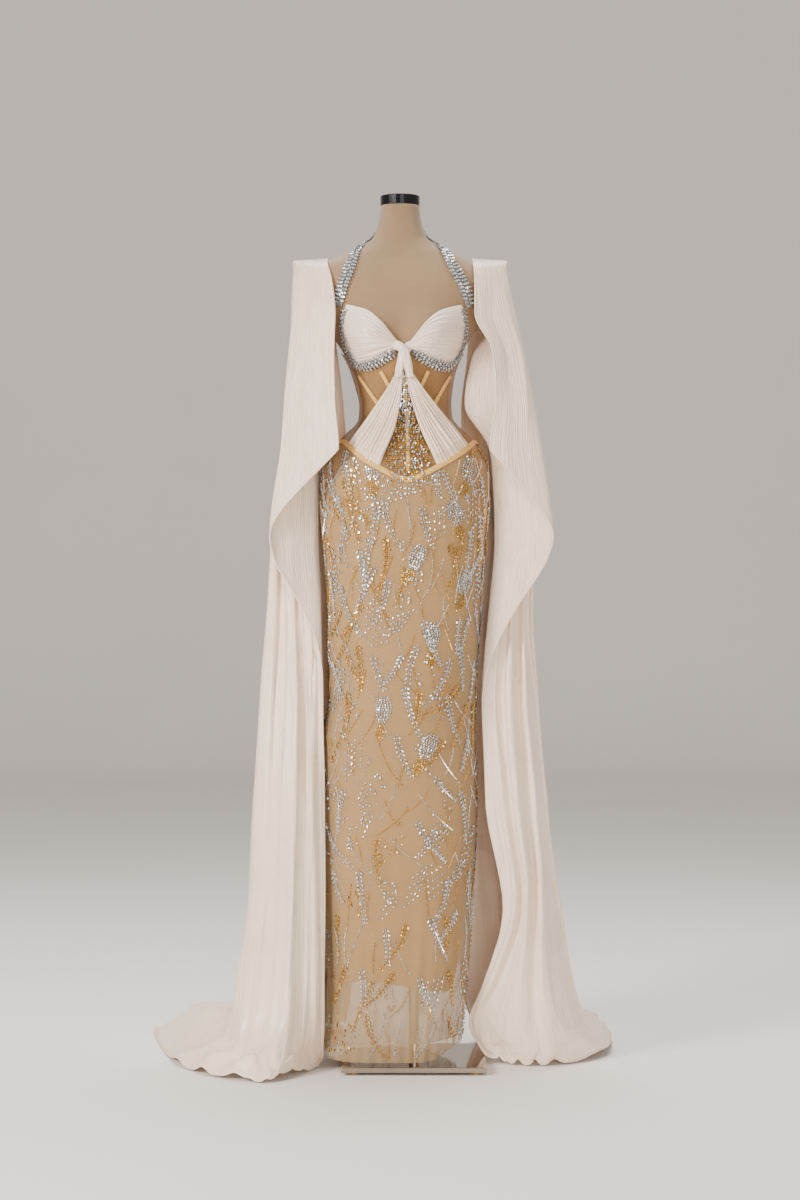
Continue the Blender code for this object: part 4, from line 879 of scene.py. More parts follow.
def linked(tree, kind, at, inputs, **settings):
    """A shader node whose inputs are joined to the sockets given, or set to the plain values given."""
    made = new_node(tree, kind, at, **settings)
    for name, value in inputs.items():
        if isinstance(value, bpy.types.NodeSocket):
            tree.links.new(value, made.inputs[name])
        else:
            made.inputs[name].default_value = value
    return made


def sums(tree, operation, at, *values):
    """One step of arithmetic on sockets or plain numbers."""
    return linked(tree, "ShaderNodeMath", at, dict(enumerate(values)), operation=operation).outputs[0]


def weave_group():
    """Crossed threads: the larger of two sine ridges, one across and one along, whose rows alternate."""
    tree, given, result = start_group(
        "crossed threads",
        (("Vector", "NodeSocketVector", None), ("Threads", "NodeSocketFloat", 900.0)),
        (("Height", "NodeSocketFloat"),),
    )
    inputs = {0: given.outputs["Vector"], "Scale": given.outputs["Threads"]}
    scaled = linked(tree, "ShaderNodeVectorMath", (-700, 0), inputs, operation="SCALE")
    split = linked(tree, "ShaderNodeSeparateXYZ", (-520, 0), {"Vector": scaled.outputs["Vector"]})
    ridges = []
    for row, axis in enumerate("XY"):
        wave = sums(tree, "SINE", (-340, -160 * row), split.outputs[axis])
        ridges.append(sums(tree, "ABSOLUTE", (-160, -160 * row), wave))
    tree.links.new(sums(tree, "MAXIMUM", (60, 0), *ridges), result.inputs["Height"])
    return tree


def crinkle_group():
    """Fine lengthwise crinkles: two layers of noise, drawn out along the cloth, added together."""
    tree, given, result = start_group(
        "lengthwise crinkle",
        (("Vector", "NodeSocketVector", None), ("Fineness", "NodeSocketFloat", 60.0)),
        (("Height", "NodeSocketFloat"),),
    )
    layers = []
    for row, (across, along, share) in enumerate(((1.0, 0.045, 1.0), (2.7, 0.08, 0.35))):
        inputs = {"Vector": given.outputs["Vector"], "Scale": (across, along, across)}
        drawn = linked(tree, "ShaderNodeMapping", (-700, -260 * row), inputs)
        inputs = {"Vector": drawn.outputs["Vector"], "Scale": given.outputs["Fineness"]}
        inputs.update(Detail=3.0, Roughness=0.5, Distortion=0.35)
        noise = linked(tree, "ShaderNodeTexNoise", (-480, -260 * row), inputs)
        layers.append(sums(tree, "MULTIPLY", (-240, -260 * row), noise.outputs["Fac"], share))
    tree.links.new(sums(tree, "ADD", (60, 0), *layers), result.inputs["Height"])
    return tree


def mottle_group():
    """Soft unevenness of a finish: cloudy noise spread to the range 0 to 1."""
    tree, given, result = start_group(
        "soft mottle",
        (("Vector", "NodeSocketVector", None), ("Scale", "NodeSocketFloat", 6.0)),
        (("Mask", "NodeSocketFloat"),),
    )
    inputs = {"Vector": given.outputs["Vector"], "Scale": given.outputs["Scale"], "Detail": 4.0}
    noise = linked(tree, "ShaderNodeTexNoise", (-480, 0), inputs)
    inputs = {"Value": noise.outputs["Fac"], "From Min": 0.3, "From Max": 0.7}
    spread = linked(tree, "ShaderNodeMapRange", (-220, 0), inputs)
    tree.links.new(spread.outputs["Result"], result.inputs["Mask"])
    return tree


def net_group():
    """A fine net: the distance to the nearest cell's edge, as a mask that is 1 on the threads."""
    tree, given, result = start_group(
        "fine net",
        (("Vector", "NodeSocketVector", None), ("Cells", "NodeSocketFloat", 700.0)),
        (("Threads", "NodeSocketFloat"),),
    )
    inputs = {"Vector": given.outputs["Vector"], "Scale": given.outputs["Cells"], "Randomness": 0.35}
    cells = linked(tree, "ShaderNodeTexVoronoi", (-480, 0), inputs, feature="DISTANCE_TO_EDGE")
    inputs = {"Value": cells.outputs["Distance"], "From Min": 0.06, "From Max": 0.22}
    inputs.update({"To Min": 1.0, "To Max": 0.0})
    mask = linked(tree, "ShaderNodeMapRange", (-220, 0), inputs)
    tree.links.new(mask.outputs["Result"], result.inputs["Threads"])
    return tree


EFFECTS = {"weave": weave_group, "crinkle": crinkle_group, "mottle": mottle_group, "net": net_group}


def effect(tree, kind, vector, at, **values):
    """One of the shared effects, placed in a material with its own values."""
    found = bpy.data.node_groups.get(f"gown {kind}")
    if found is None:
        found = EFFECTS[kind]()
        found.name = f"gown {kind}"
    inputs = {"Vector": vector, **values}
    return linked(tree, "ShaderNodeGroup", at, inputs, node_tree=found).outputs[0]


def blend_colour(tree, mask, first, second, at):
    """A colour between two, by a mask."""
    inputs = {6: (*first, 1.0), 7: (*second, 1.0), 0: mask}
    return linked(tree, "ShaderNodeMix", at, inputs, data_type="RGBA").outputs[2]


def spread_to(tree, mask, low, high, at):
    """A mask from 0 to 1 turned into a range of values."""
    inputs = {"To Min": low, "To Max": high, "Value": mask}
    return linked(tree, "ShaderNodeMapRange", at, inputs).outputs["Result"]


def start_material(name, **constants):
    """A material whose shader's unvarying values are set on its own sockets."""
    made = bpy.data.materials.new(name)
    made.use_nodes = True
    shader = made.node_tree.nodes["Principled BSDF"]
    shader.location = (300, 0)
    made.node_tree.nodes["Material Output"].location = (600, 0)
    for title, value in constants.items():
        shader.inputs[title.replace("_", " ")].default_value = value
    return made, made.node_tree, shader


def coordinates(tree, kind):
    """The piece's own UV map in metres, or its Object coordinates."""
    return new_node(tree, "ShaderNodeTexCoord", (-1100, 0)).outputs[kind]


def add_bump(tree, shader, heights, distance):
    """Adds up weighted heights and turns them into the shader's normal."""
    total = 0.0
    for place, (height, share) in enumerate(heights):
        part = sums(tree, "MULTIPLY", (-300, -500 - 160 * place), height, share)
        total = sums(tree, "ADD", (-120, -500 - 160 * place), part, total)
    inputs = {"Distance": distance, "Strength": 1.0, "Height": total}
    bump = linked(tree, "ShaderNodeBump", (80, -400), inputs)
    tree.links.new(bump.outputs["Normal"], shader.inputs["Normal"])


def shaded(colour, share):
    """A colour made darker by a share, or a little lighter by one above 1."""
    return tuple(min(1.0, part * share) for part in colour)


def tone_by(tree, shader, mask, colour, shares, roughness):
    """The shader's colour and roughness between two ends, by a mask."""
    dark, light = shares
    tint = blend_colour(tree, mask, shaded(colour, dark), shaded(colour, light), (-200, 300))
    tree.links.new(tint, shader.inputs["Base Color"])
    tree.links.new(spread_to(tree, mask, *roughness, (-200, 80)), shader.inputs["Roughness"])


def cloudy_tone(tree, shader, vector, scale, colour, shares, roughness):
    """Soft clouds in the colour and the roughness. Gives their mask."""
    cloudy = effect(tree, "mottle", vector, (-800, 300), Scale=scale)
    tone_by(tree, shader, cloudy, colour, shares, roughness)
    return cloudy


def satin_material(name, colour, crinkle, fineness):
    """Ivory satin: a soft sheen, a fine weave and lengthwise crinkles."""
    made, tree, shader = start_material(
        name, Sheen_Weight=0.25, Sheen_Roughness=0.45, Anisotropic=0.35, Specular_IOR_Level=0.65
    )
    uv = coordinates(tree, "UV")
    cloudy_tone(tree, shader, uv, 9.0, colour, (0.94, 1.03), (0.24, 0.33))
    creased = effect(tree, "crinkle", uv, (-800, -200), Fineness=fineness)
    woven = effect(tree, "weave", uv, (-800, -500), Threads=2600.0)
    add_bump(tree, shader, ((creased, crinkle), (woven, 0.012)), 0.004)
    return made


def sheer_material(name, colour, clear, thick, cells):
    """Sheer net: its threads hide what is under it, and its openings let it through."""
    made, tree, shader = start_material(name, Sheen_Weight=0.15, Specular_IOR_Level=0.25)
    uv = coordinates(tree, "UV")
    cloudy_tone(tree, shader, uv, 7.0, colour, (0.90, 1.0), (0.55, 0.70))
    threads = effect(tree, "net", uv, (-800, -100), Cells=cells)
    tree.links.new(spread_to(tree, threads, clear, thick, (-200, -100)), shader.inputs["Alpha"])
    add_bump(tree, shader, ((threads, 1.0),), 0.0003)
    return made


def lining_material(name, colour):
    """The smooth gold lining, with slight lengthwise unevenness."""
    made, tree, shader = start_material(name, Sheen_Weight=0.12, Specular_IOR_Level=0.4, Anisotropic=0.2)
    uv = coordinates(tree, "UV")
    cloudy_tone(tree, shader, uv, 6.0, colour, (0.88, 1.0), (0.42, 0.55))
    creased = effect(tree, "crinkle", uv, (-800, -200), Fineness=30.0)
    woven = effect(tree, "weave", uv, (-800, -500), Threads=2200.0)
    add_bump(tree, shader, ((creased, 0.5), (woven, 0.03)), 0.004)
    return made


def tape_material(name, colour):
    """Woven tape with a ribbed face."""
    made, tree, shader = start_material(name, Sheen_Weight=0.2, Specular_IOR_Level=0.35)
    uv = coordinates(tree, "UV")
    cloudy_tone(tree, shader, uv, 40.0, colour, (0.86, 1.0), (0.55, 0.7))
    woven = effect(tree, "weave", uv, (-800, -300), Threads=3000.0)
    add_bump(tree, shader, ((woven, 1.0),), 0.0003)
    return made


def linen_material(name, colour):
    """Plain linen stretched over the form, slightly soiled by use."""
    made, tree, shader = start_material(name, Sheen_Weight=0.25, Sheen_Roughness=0.6, Specular_IOR_Level=0.3)
    here = coordinates(tree, "Object")
    cloudy_tone(tree, shader, here, 8.0, colour, (0.84, 1.0), (0.78, 0.92))
    woven = effect(tree, "weave", coordinates(tree, "UV"), (-800, -300), Threads=2400.0)
    add_bump(tree, shader, ((woven, 1.0),), 0.0004)
    return made


def metal_material(name, colour, roughness, scale):
    """Polished metal with faint wipe marks."""
    made, tree, shader = start_material(name, Metallic=1.0)
    cloudy_tone(tree, shader, coordinates(tree, "Object"), scale, colour, (0.86, 1.0), roughness)
    return made


def rubber_material(name, colour):
    """Yellow rubber of the pads, slightly uneven."""
    made, tree, shader = start_material(name, Specular_IOR_Level=0.5)
    here = coordinates(tree, "Object")
    cloudy = cloudy_tone(tree, shader, here, 60.0, colour, (0.7, 1.0), (0.4, 0.6))
    add_bump(tree, shader, ((cloudy, 1.0),), 0.0004)
    return made


def stone_material(name, colour):
    """Foil-backed crystal: the colour of each facet carries painted light from an attribute, painted shade on
    some facets and painted glints on others, so that the stones glitter.
    """
    made, tree, shader = start_material(name, Metallic=0.55, Specular_IOR_Level=0.8, Coat_Weight=0.6)
    painted_glint = new_node(tree, "ShaderNodeAttribute", (-800, 300), attribute_name="painted_glint")
    tone_by(tree, shader, painted_glint.outputs["Fac"], colour, (0.08, 1.0), (0.10, 0.30))
    return made


def floor_material(colour):
    """Matt pale floor and backdrop."""
    made, tree, shader = start_material("pale floor", Specular_IOR_Level=0.2)
    cloudy_tone(tree, shader, coordinates(tree, "Object"), 1.2, colour, (0.97, 1.0), (0.75, 0.85))
    return made


FINISHES = {
    # The satin's warm peach tone is partly its own ivory and partly a painted warm bounce light from the
    # room.
    "satin": lambda c: satin_material("ivory satin", c.satin, 0.75, 170.0),
    "cup satin": lambda c: satin_material("pleated satin", c.cup_satin, 0.22, 240.0),
    "mesh": lambda c: sheer_material("sheer mesh", c.mesh, 0.52, 0.80, 700.0),
    "tulle": lambda c: sheer_material("embroidered tulle", c.tulle, 0.42, 0.82, 520.0),
    "lining": lambda c: lining_material("gold lining", c.lining),
    "tape": lambda c: tape_material("woven tape", c.tape),
    "backing": lambda c: tape_material("grey backing tape", shaded(c.silver, 0.22)),
    "linen": lambda c: linen_material("form linen", c.linen),
    "silver": lambda c: stone_material("silver crystal", c.silver),
    "gold": lambda c: stone_material("gold crystal", c.gold),
    # The steel's grey is its own. Its warm brown tint is a painted reflection of the warm room round the
    # stand.
    "steel": lambda c: metal_material("mirror steel", c.steel, (0.06, 0.13), 18.0),
    "cap": lambda c: metal_material("dark polished metal", c.cap, (0.08, 0.16), 30.0),
    "rubber": lambda c: rubber_material("yellow pad", c.rubber),
}


def finish(kind):
    """A finish by its name, made once."""
    title = f"finish {kind}"
    found = bpy.context.scene.get(title)
    if found and found in bpy.data.materials:
        return bpy.data.materials[found]
    made = FINISHES[kind](bpy.context.scene.gown_colours)
    bpy.context.scene[title] = made.name
    return made


def mesh_from(name, vertices, faces, uv, material, smooth=True):
    """A mesh object from whole arrays: points about the gown's middle, faces that all have the same number of
    corners, and a UV pair in metres for each corner."""
    vertices = np.array(vertices, float).reshape(-1, 3) + np.array([GOWN_CENTRE_X, 0.0, 0.0])
    mesh = bpy.data.meshes.new(name)
    mesh.vertices.add(len(vertices))
    mesh.vertices.foreach_set("co", vertices.astype(np.float32).ravel())
    mesh.loops.add(faces.size)
    mesh.loops.foreach_set("vertex_index", faces.astype(np.int32).ravel())
    mesh.polygons.add(len(faces))
    mesh.polygons.foreach_set("loop_start", (np.arange(len(faces)) * faces.shape[1]).astype(np.int32))
    mesh.polygons.foreach_set("use_smooth", np.full(len(faces), smooth))
    mesh.uv_layers.new(name="metres").data.foreach_set("uv", uv.astype(np.float32).ravel())
    mesh.update(calc_edges=True)
    mesh.validate()
    mesh.materials.append(material)
    made = bpy.data.objects.new(name, mesh)
    bpy.context.scene.collection.objects.link(made)
    return made


def grid_uv(points, wrap):
    """A UV pair for each point of a grid, in metres: along the middle row, and down the mean column."""
    steps = np.linalg.norm(np.diff(points, axis=1, append=points[:, :1]), axis=2)
    middle = steps[len(points) // 2]
    across = np.concatenate([[0.0], np.cumsum(middle)])
    across = across if wrap else across[:-1]
    down = np.linalg.norm(np.diff(points, axis=0), axis=2).mean(1)
    down = np.concatenate([[0.0], np.cumsum(down)])
    return np.stack(np.meshgrid(across, down), -1)


def surface(name, points, material, wrap=False, outward=None, weld=0.0, uv=None):
    """A sheet through a grid of points. It joins round where wrap is set, and its faces are turned so that
    most of them look along outward, or away from the grid's middle line."""
    rows, columns = points.shape[:2]
    row, place = np.meshgrid(np.arange(rows - 1), np.arange(columns if wrap else columns - 1), indexing="ij")
    following = (place + 1) % columns
    corner_rows = np.stack([row, row, row + 1, row + 1], -1).reshape(-1, 4)
    corner_places = np.stack([place, following, following, place], -1).reshape(-1, 4)
    uv_places = np.stack([place, place + 1, place + 1, place], -1).reshape(-1, 4)
    quads = corner_rows * columns + corner_places
    if uv is None:
        uv = grid_uv(points, wrap)
    corners = uv[corner_rows, uv_places]
    flat = points.reshape(-1, 3)
    normal = np.cross(flat[quads[:, 2]] - flat[quads[:, 0]], flat[quads[:, 3]] - flat[quads[:, 1]])
    if outward is None:
        away = flat[quads].mean(1) - points.mean(1)[corner_rows[:, 0]]
    else:
        away = np.asarray(outward, float)
    if np.sum(normal * away) < 0:
        quads, corners = quads[:, ::-1], corners[:, ::-1]
    made = mesh_from(name, points, quads, corners, material)
    if weld:
        merge_points(made, weld)
    return made


def merge_points(made, distance):
    """Joins doubled points, which closes poles and ridges."""
    work = bmesh.new()
    work.from_mesh(made.data)
    bmesh.ops.remove_doubles(work, verts=work.verts, dist=distance)
    work.to_mesh(made.data)
    work.free()
    made.data.update()


def thicken(made, thickness):
    """Gives a sheet its wall, shared to both sides."""
    solid = made.modifiers.new("wall", "SOLIDIFY")
    solid.thickness = thickness
    solid.offset = 0.0
    solid.use_even_offset = False
    return made


def cloth_area(points):
    """The area of a grid's four-sided faces, by half the cross product of their diagonals."""
    first = points[1:, 1:] - points[:-1, :-1]
    second = points[1:, :-1] - points[:-1, 1:]
    return float(np.linalg.norm(np.cross(first, second), axis=-1).sum() / 2)


def declare_cloth(points, wrap=False):
    """Works out the cut of what shows, from the surface itself: its widest row, its longest column and its
    area.
    Where the sheet fills little of that rectangle, the width is kept to what suits its area. None of it is
    kept or returned."""
    if wrap:
        points = np.concatenate([points, points[:, :1]], 1)
    widest = float(np.linalg.norm(np.diff(points, axis=1), axis=2).sum(1).max())
    length = float(np.linalg.norm(np.diff(points, axis=0), axis=2).sum(0).max())
    area = cloth_area(points)
    width = min(widest, area / (LEAST_FILL * length))
    length = max(length, area / width)
    area = min(area, width * length)


def settle_piece(made, slot_name, *nodes):
    """The piece rides on the body and stands for its solids, which are hidden. Its slot name is not used."""
    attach(made, "root")
    if nodes:
        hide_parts(*nodes)
    return made


def path_frame(path, outward, closed):
    """Directions along a path, across it, and out of it as near to the outward vectors as can be."""
    if closed:
        along = unit(np.roll(path, -1, 0) - np.roll(path, 1, 0))
    else:
        along = unit(np.gradient(path, axis=0))
    across = unit(np.cross(along, outward))
    return along, across, unit(np.cross(across, along))


def capped(grid):
    """A tube's grid with a point at each end, so that welding closes it."""
    start, end = grid[:1].mean(1, keepdims=True), grid[-1:].mean(1, keepdims=True)
    return np.concatenate([np.repeat(start, grid.shape[1], 1), grid, np.repeat(end, grid.shape[1], 1)])


def ring_grid(path, across, out, flat, closed):
    """A ring of points at each place of a path: flat gives each point's reach across and out. The grid is
    closed on itself or at its two ends."""
    grid = path[:, None] + flat[0][..., None] * across[:, None] + flat[1][..., None] * out[:, None]
    return np.concatenate([grid, grid[:1]]) if closed else capped(grid)


def cord_grid(path, outward, radius, closed=False):
    """A round hem or cord along a path: each point's circle lies square to the path."""
    _, across, out = path_frame(path, outward, closed)
    turn = full_turn(HEM_SIDES) + np.zeros((len(path), 1))
    return ring_grid(path, across, out, (radius * np.cos(turn), radius * np.sin(turn)), closed)


def tape_grid(path, outward, widths, closed=False, crown=0.35):
    """A tape along a path, with a slightly crowned face: a flattened ring of ten points at each step."""
    _, across, out = path_frame(path, outward, closed)
    top = 1.0 + crown
    place = np.array([-1.0, -0.94, -0.5, 0.0, 0.5, 0.94, 1.0, 0.94, 0.0, -0.94])
    height = np.array([0.0, 0.9, top, top, top, 0.9, 0.0, -1.0, -1.0, -1.0])
    reach = np.asarray(widths)[:, None] / 2 * place
    return ring_grid(path, across, out, (reach, TRIM_WALL / 2 * height + 0 * reach), closed)


def form_surface():
    """The dress form: its sections from the underside to the neck, with each end drawn in to a point."""
    rows, sides = FORM_GRID
    lowest, highest = FORM_ROWS[0], FORM_ROWS[-1]
    angle = full_turn(sides)
    z = np.linspace(lowest[0], highest[0], rows)[:, None]
    body = form_point(angle + 0 * z, z + 0 * angle)
    shares = np.array([0.0, 0.5, 0.93])[:, None, None]
    middle_low = np.array([lowest[1], 0.0, lowest[0]])
    middle_high = np.array([highest[1], 0.0, highest[0]])
    under = middle_low + (body[:1] - middle_low) * shares
    over = middle_high + (body[-1:] - middle_high) * shares[::-1]
    return np.concatenate([under, body, over])


def gown_point(angle, z, out=0.0):
    """A point on the skirt or corset by its turn from the centre back and its height. Uneven flutes and finer
    ripples move it out and in, deeper towards the hem."""
    points = section(GOWN_COLUMNS, GOWN_ROWS, angle, z, out)
    flute = np.cos(FLUTES * angle + 3.2 * np.sin(angle))
    deep = FLUTE_DEPTH * np.clip((FLUTES_START_Z - z) / FLUTES_START_Z, 0, 1) ** 1.4
    ripple = np.cos(RIPPLES * angle + 2.1 * np.sin(2 * angle))
    fine = RIPPLE_DEPTH * ripple * np.clip((RIPPLES_START_Z - z) / RIPPLES_START_Z, 0, 1)
    outward = (points - np.array([-0.005, 0.0, 0.0])) * LEVEL
    return points + unit(outward) * (flute * deep + fine)[..., None]


def seam_around(angle):
    """The height of the V seam at each turn."""
    reach = section(GOWN_COLUMNS, GOWN_ROWS, angle, SEAM_READ_Z)[..., 0]
    return seam_height(reach, np.cos(angle) < 0, centre_line(SEAM_CENTRE_Z))


def hem_around(angle):
    """The skirt hem's height at each turn: it lifts towards the wearer's left."""
    return HEM_Z + HEM_LIFT * np.clip(np.sin(angle) * 1.5 - 0.5, 0, 1) ** 2


def skirt_surface():
    """The tulle skirt, from the seam to the hem, in even steps down each line."""
    rows, sides = SKIRT_GRID
    angle = full_turn(sides)
    top, hem = seam_around(angle) - GAP, hem_around(angle)
    z = top + (hem - top) * np.linspace(0, 1, rows)[:, None]
    return gown_point(angle + 0 * z, z)


def lining_surface():
    """The gold lining: the skirt's own section moved in, with soft lengthwise folds that deepen downwards."""
    rows, sides = LINING_GRID
    angle = full_turn(sides)
    top = seam_around(angle) - LINING_BELOW_SEAM
    edge = LINING_ROWS[0][0] + LINING_EDGE_WAVE * np.sin(2.0 * angle + 0.6)
    z = top + (edge - top) * np.linspace(0, 1, rows)[:, None]
    wander = 2.4 * np.sin(2 * angle + 1.0) + 1.2 * np.sin(5 * z)
    fold = 0.5 - 0.5 * np.cos(LINING_FOLDS * angle + wander)
    grown = np.clip((LINING_FOLDS_START_Z - z) / LINING_FOLDS_GROW, 0, 1)
    narrowed = LINING_INSIDE + read(LINING_COLUMNS, LINING_ROWS, "narrowed", z)
    return section(GOWN_COLUMNS, GOWN_ROWS, angle + 0 * z, z, -narrowed - LINING_FOLD_DEPTH * fold * grown)


def corset_surface():
    """The sheer corset, from the V seam to its upper edge under the cups and straight across the back."""
    rows, sides = CORSET_GRID
    angle = full_turn(sides)
    offset = column(CORSET_TOP_COLUMNS, CORSET_TOP_ROWS, "offset")
    height = column(CORSET_TOP_COLUMNS, CORSET_TOP_ROWS, "z")
    side_point = section(GOWN_COLUMNS, GOWN_ROWS, angle, 1.34)
    top = np.interp(np.abs(side_point[..., 0] - BUST_CENTRE), offset, height)
    back_share = np.clip(np.cos(angle), 0, 1) ** 0.5
    top = np.where(np.cos(angle) < 0, top, height[-1] + (CORSET_BACK_TOP_Z - height[-1]) * back_share)
    bottom = seam_around(angle) + GAP
    z = bottom + (top - bottom) * np.linspace(0, 1, rows)[:, None]
    return section(GOWN_COLUMNS, GOWN_ROWS, angle + 0 * z, z)


def seam_binding():
    """The middle line of the V seam's binding, and its outward direction square to the gown."""
    angle = full_turn(BINDING_STEPS)[0]
    z = seam_around(angle)
    here = section(GOWN_COLUMNS, GOWN_ROWS, angle, z)
    above = section(GOWN_COLUMNS, GOWN_ROWS, angle, z + 0.004)
    beside = section(GOWN_COLUMNS, GOWN_ROWS, angle + 0.01, z)
    normal = facing(unit(np.cross(beside - here, above - here)), here - np.array([0.01, 0.0, 1.15]))
    return here + normal * BINDING_OUT, normal


def boning_line(top_offset, top_z, bottom_offset, bottom_z):
    """The middle line of a boning channel, straight from the front, and its outward direction."""
    z = np.linspace(top_z, bottom_z, BONING_STEPS)
    x = centre_line(z) + np.linspace(top_offset, bottom_offset, BONING_STEPS)
    normal = gown_normal(x, z)
    return np.stack([x, gown_front(x, z), z], -1) + normal * BONING_OUT, normal


def pleat_wave(place, count):
    """Knife pleats, one flank steeper: a cosine whose phase is pushed by its own sine."""
    phase = 2 * math.pi * count * place
    return np.cos(phase + 0.616 * np.sin(phase))


def pleat_ridge(place, count):
    """Rounded pleats parted by sharp valleys: twice the size of a half-frequency sine, less one."""
    return 2 * np.abs(np.sin(math.pi * count * place)) ** 0.7 - 1


def cup_surface(side, pleats):
    """A pleated cup: its plain form, moved out by uneven pleats that are deep at the knot and fade to the
    strap, and by finer pleats between them."""
    rows, places = CUP_GRID
    along = np.linspace(0, 1, rows)[:, None]
    up = np.linspace(0, 1, places)[None, :]
    points = cup_point(side, along + 0 * up, up + 0 * along)
    fade = ease(along * 1.25) * np.clip((1 - along) * 6, 0.4, 1)
    drift = up + 0.030 * np.sin(4.5 * along + 8 * up + side) + 0.012 * np.sin(15 * up)
    uneven = 0.7 + 0.3 * np.sin(19 * up + 2.5 * side)
    fine = pleat_wave(up + 0.02 * np.sin(6 * along), CUP_FINE_PLEATS * pleats) * ease(1.2 - along)
    points[..., 1] -= CUP_PLEAT_DEPTH * fade * uneven * pleat_ridge(drift, pleats)
    points[..., 1] -= CUP_FINE_PLEAT_DEPTH * fine
    return points


def streamer_slope(side, across):
    """How a streamer's plain form runs on past its table, for each share of its length."""
    end = streamer_point(side, 1.0 + 0 * across, across)
    before = streamer_point(side, STREAMER_SLOPE_FROM + 0 * across, across)
    return (end - before) / (1 - STREAMER_SLOPE_FROM)


def streamer_reach(side, across):
    """How far each line of a streamer runs before it meets the V seam, as a share of the plain form's length.
    The lines are tried at small steps, and the first place below the seam is taken."""
    low = streamer_point(side, 1.0 + 0 * across, across)
    slope = streamer_slope(side, across)
    angle = np.linspace(math.pi / 2, 1.5 * math.pi, 400)
    height = seam_around(angle)
    reach = section(GOWN_COLUMNS, GOWN_ROWS, angle, height)[..., 0]
    order = np.argsort(reach)
    beyond = np.linspace(-0.06, 0.12, 60)[:, None]
    x = low[None, :, 0] + beyond * slope[None, :, 0]
    z = low[None, :, 2] + beyond * slope[None, :, 2]
    met = z < np.interp(x, reach[order], height[order]) - 0.001
    first = np.where(met.any(0), met.argmax(0), len(beyond) - 1)
    return 1.0 + beyond[first, 0]


def streamer_surface(side, pleats):
    """A streamer: a narrow gathered top that opens into pleats down to the seam, where it is tucked under the
    binding."""
    rows, places = STREAMER_GRID
    across = np.linspace(0, 1, places)
    along = np.linspace(0, 1, rows)[:, None] * streamer_reach(side, across)[None, :]
    slope = streamer_slope(side, across) * np.array([1.0, 0.0, 1.0])
    across = across[None, :] + 0 * along
    points = streamer_point(side, np.minimum(along, 1.0), across)
    points = points + np.maximum(along - 1.0, 0)[..., None] * slope
    tuck = ease((along / along[-1] - 0.88) / 0.11)
    under = gown_front(points[..., 0], points[..., 2], STREAMER_TUCK_OUT)
    points[..., 1] += (under - points[..., 1]) * tuck
    drift = across + 0.026 * np.sin(4 * along + 9 * across + side) + 0.012 * np.sin(13 * across + 2.0 * side)
    deep = STREAMER_PLEAT_DEPTH * np.clip(along * 2.2 + 0.20, 0, 1) * (1 - 0.75 * tuck)
    uneven = 0.75 + 0.25 * np.sin(17 * across + 3 * along + side)
    points[..., 1] -= deep * uneven * pleat_ridge(drift, pleats)
    return points


def strand_surface(side):
    """One strand of the twist: a pleated roll from a cup's inner end, across the other strand, to the far
    streamer. The strand from the wearer's right lies in front. Its pleats turn as they run."""
    rows, sides = KNOT_GRID
    share = np.linspace(0, 1, rows)
    knots, *columns = np.array(STRAND_ROWS).T
    reach, z, out, radius = (smooth_curve(knots, values, share) for values in columns)
    if side > 0:
        out = out - STRAND_UNDER * np.sin(math.pi * np.clip(share * 1.15, 0, 1))
    depth = form_front(BUST_CENTRE, KNOT_SEAT_Z) - out
    path = np.stack([BUST_CENTRE + side * reach, depth, z], -1)
    _, across, front = path_frame(path, np.array([0.0, -1.0, 0.0]), False)
    turn = full_turn(sides)
    twist = turn - side * STRAND_TWIST * share[:, None]
    pleats = 0.26 * (np.abs(np.sin(STRAND_PLEATS / 2 * twist)) ** 0.8 - 0.6) + 0.05 * np.cos(11 * twist)
    size = radius[:, None] * (1 + pleats)
    return ring_grid(path, across, front, (size * np.cos(turn), STRAND_FLATNESS * size * np.sin(turn)), False)


def stepped(counts):
    """Places from 0 up, with the given number of even steps in each whole one."""
    steps = [np.linspace(n, n + 1, count, endpoint=False) for n, count in enumerate(counts)]
    return np.concatenate([*steps, [float(len(counts))]])


def sleeve_normals(side, fold, level, step=0.02):
    """The sheet's outward normals, from its slopes along and across the folds."""
    last_fold, last_level = float(len(SLEEVE_FINE_STEPS)), float(len(SLEEVE_ROWS_PER_LEVEL))
    before, after = np.clip(fold - step, 0, last_fold), np.clip(fold + step, 0, last_fold)
    above, below = np.clip(level - step, 0, last_level), np.clip(level + step, 0, last_level)
    across = sleeve_point(side, after, level) - sleeve_point(side, before, level)
    down = sleeve_point(side, fold, below) - sleeve_point(side, fold, above)
    return -side * unit(np.cross(across, down))


def crease_height(side, fold, z):
    """The sum of the listed creases. Each is a rounded ridge that fades in and out along its run."""
    total = 0 * fold
    for high_fold, low_fold, high_z, low_z, out, half in SLEEVE_CREASES[side]:
        share = np.clip((high_z - z) / (high_z - low_z), 0, 1)
        centre = high_fold + (low_fold - high_fold) * share + 0.04 * np.sin(9 * share + 5 * high_fold)
        away = np.abs(fold - centre) / half
        run = ease((high_z - z) / 0.16) * ease((z - low_z) / 0.10 + 0.35 * (low_z < 0.1))
        total = total + out * run * np.exp(-(away**1.35))
    return total


def small_folds(side, fold, level, z, depth):
    """Soft small folds that drift down the sheet: three uneven waves, faded in below the shoulder."""
    drift = 0.55 * np.sin(2.3 * z + 1.7 * side) + 0.25 * np.sin(6.1 * z + fold)
    waves = np.cos(2 * math.pi * (1.25 * fold + drift))
    waves = waves + 0.55 * np.cos(2 * math.pi * (2.6 * fold - 0.8 * drift) + 1.1)
    waves = waves + 0.22 * np.cos(2 * math.pi * (5.3 * fold + 1.6 * drift) + 0.4 * side)
    patch = 0.55 + 0.45 * np.sin(1.9 * fold + 3.3 * z + 2.0 * side) * np.sin(0.9 * fold - 2.1 * z)
    return depth * patch * waves * ease(level / 3.5) * (0.55 + 0.45 * ease((0.9 - z) / 0.7))


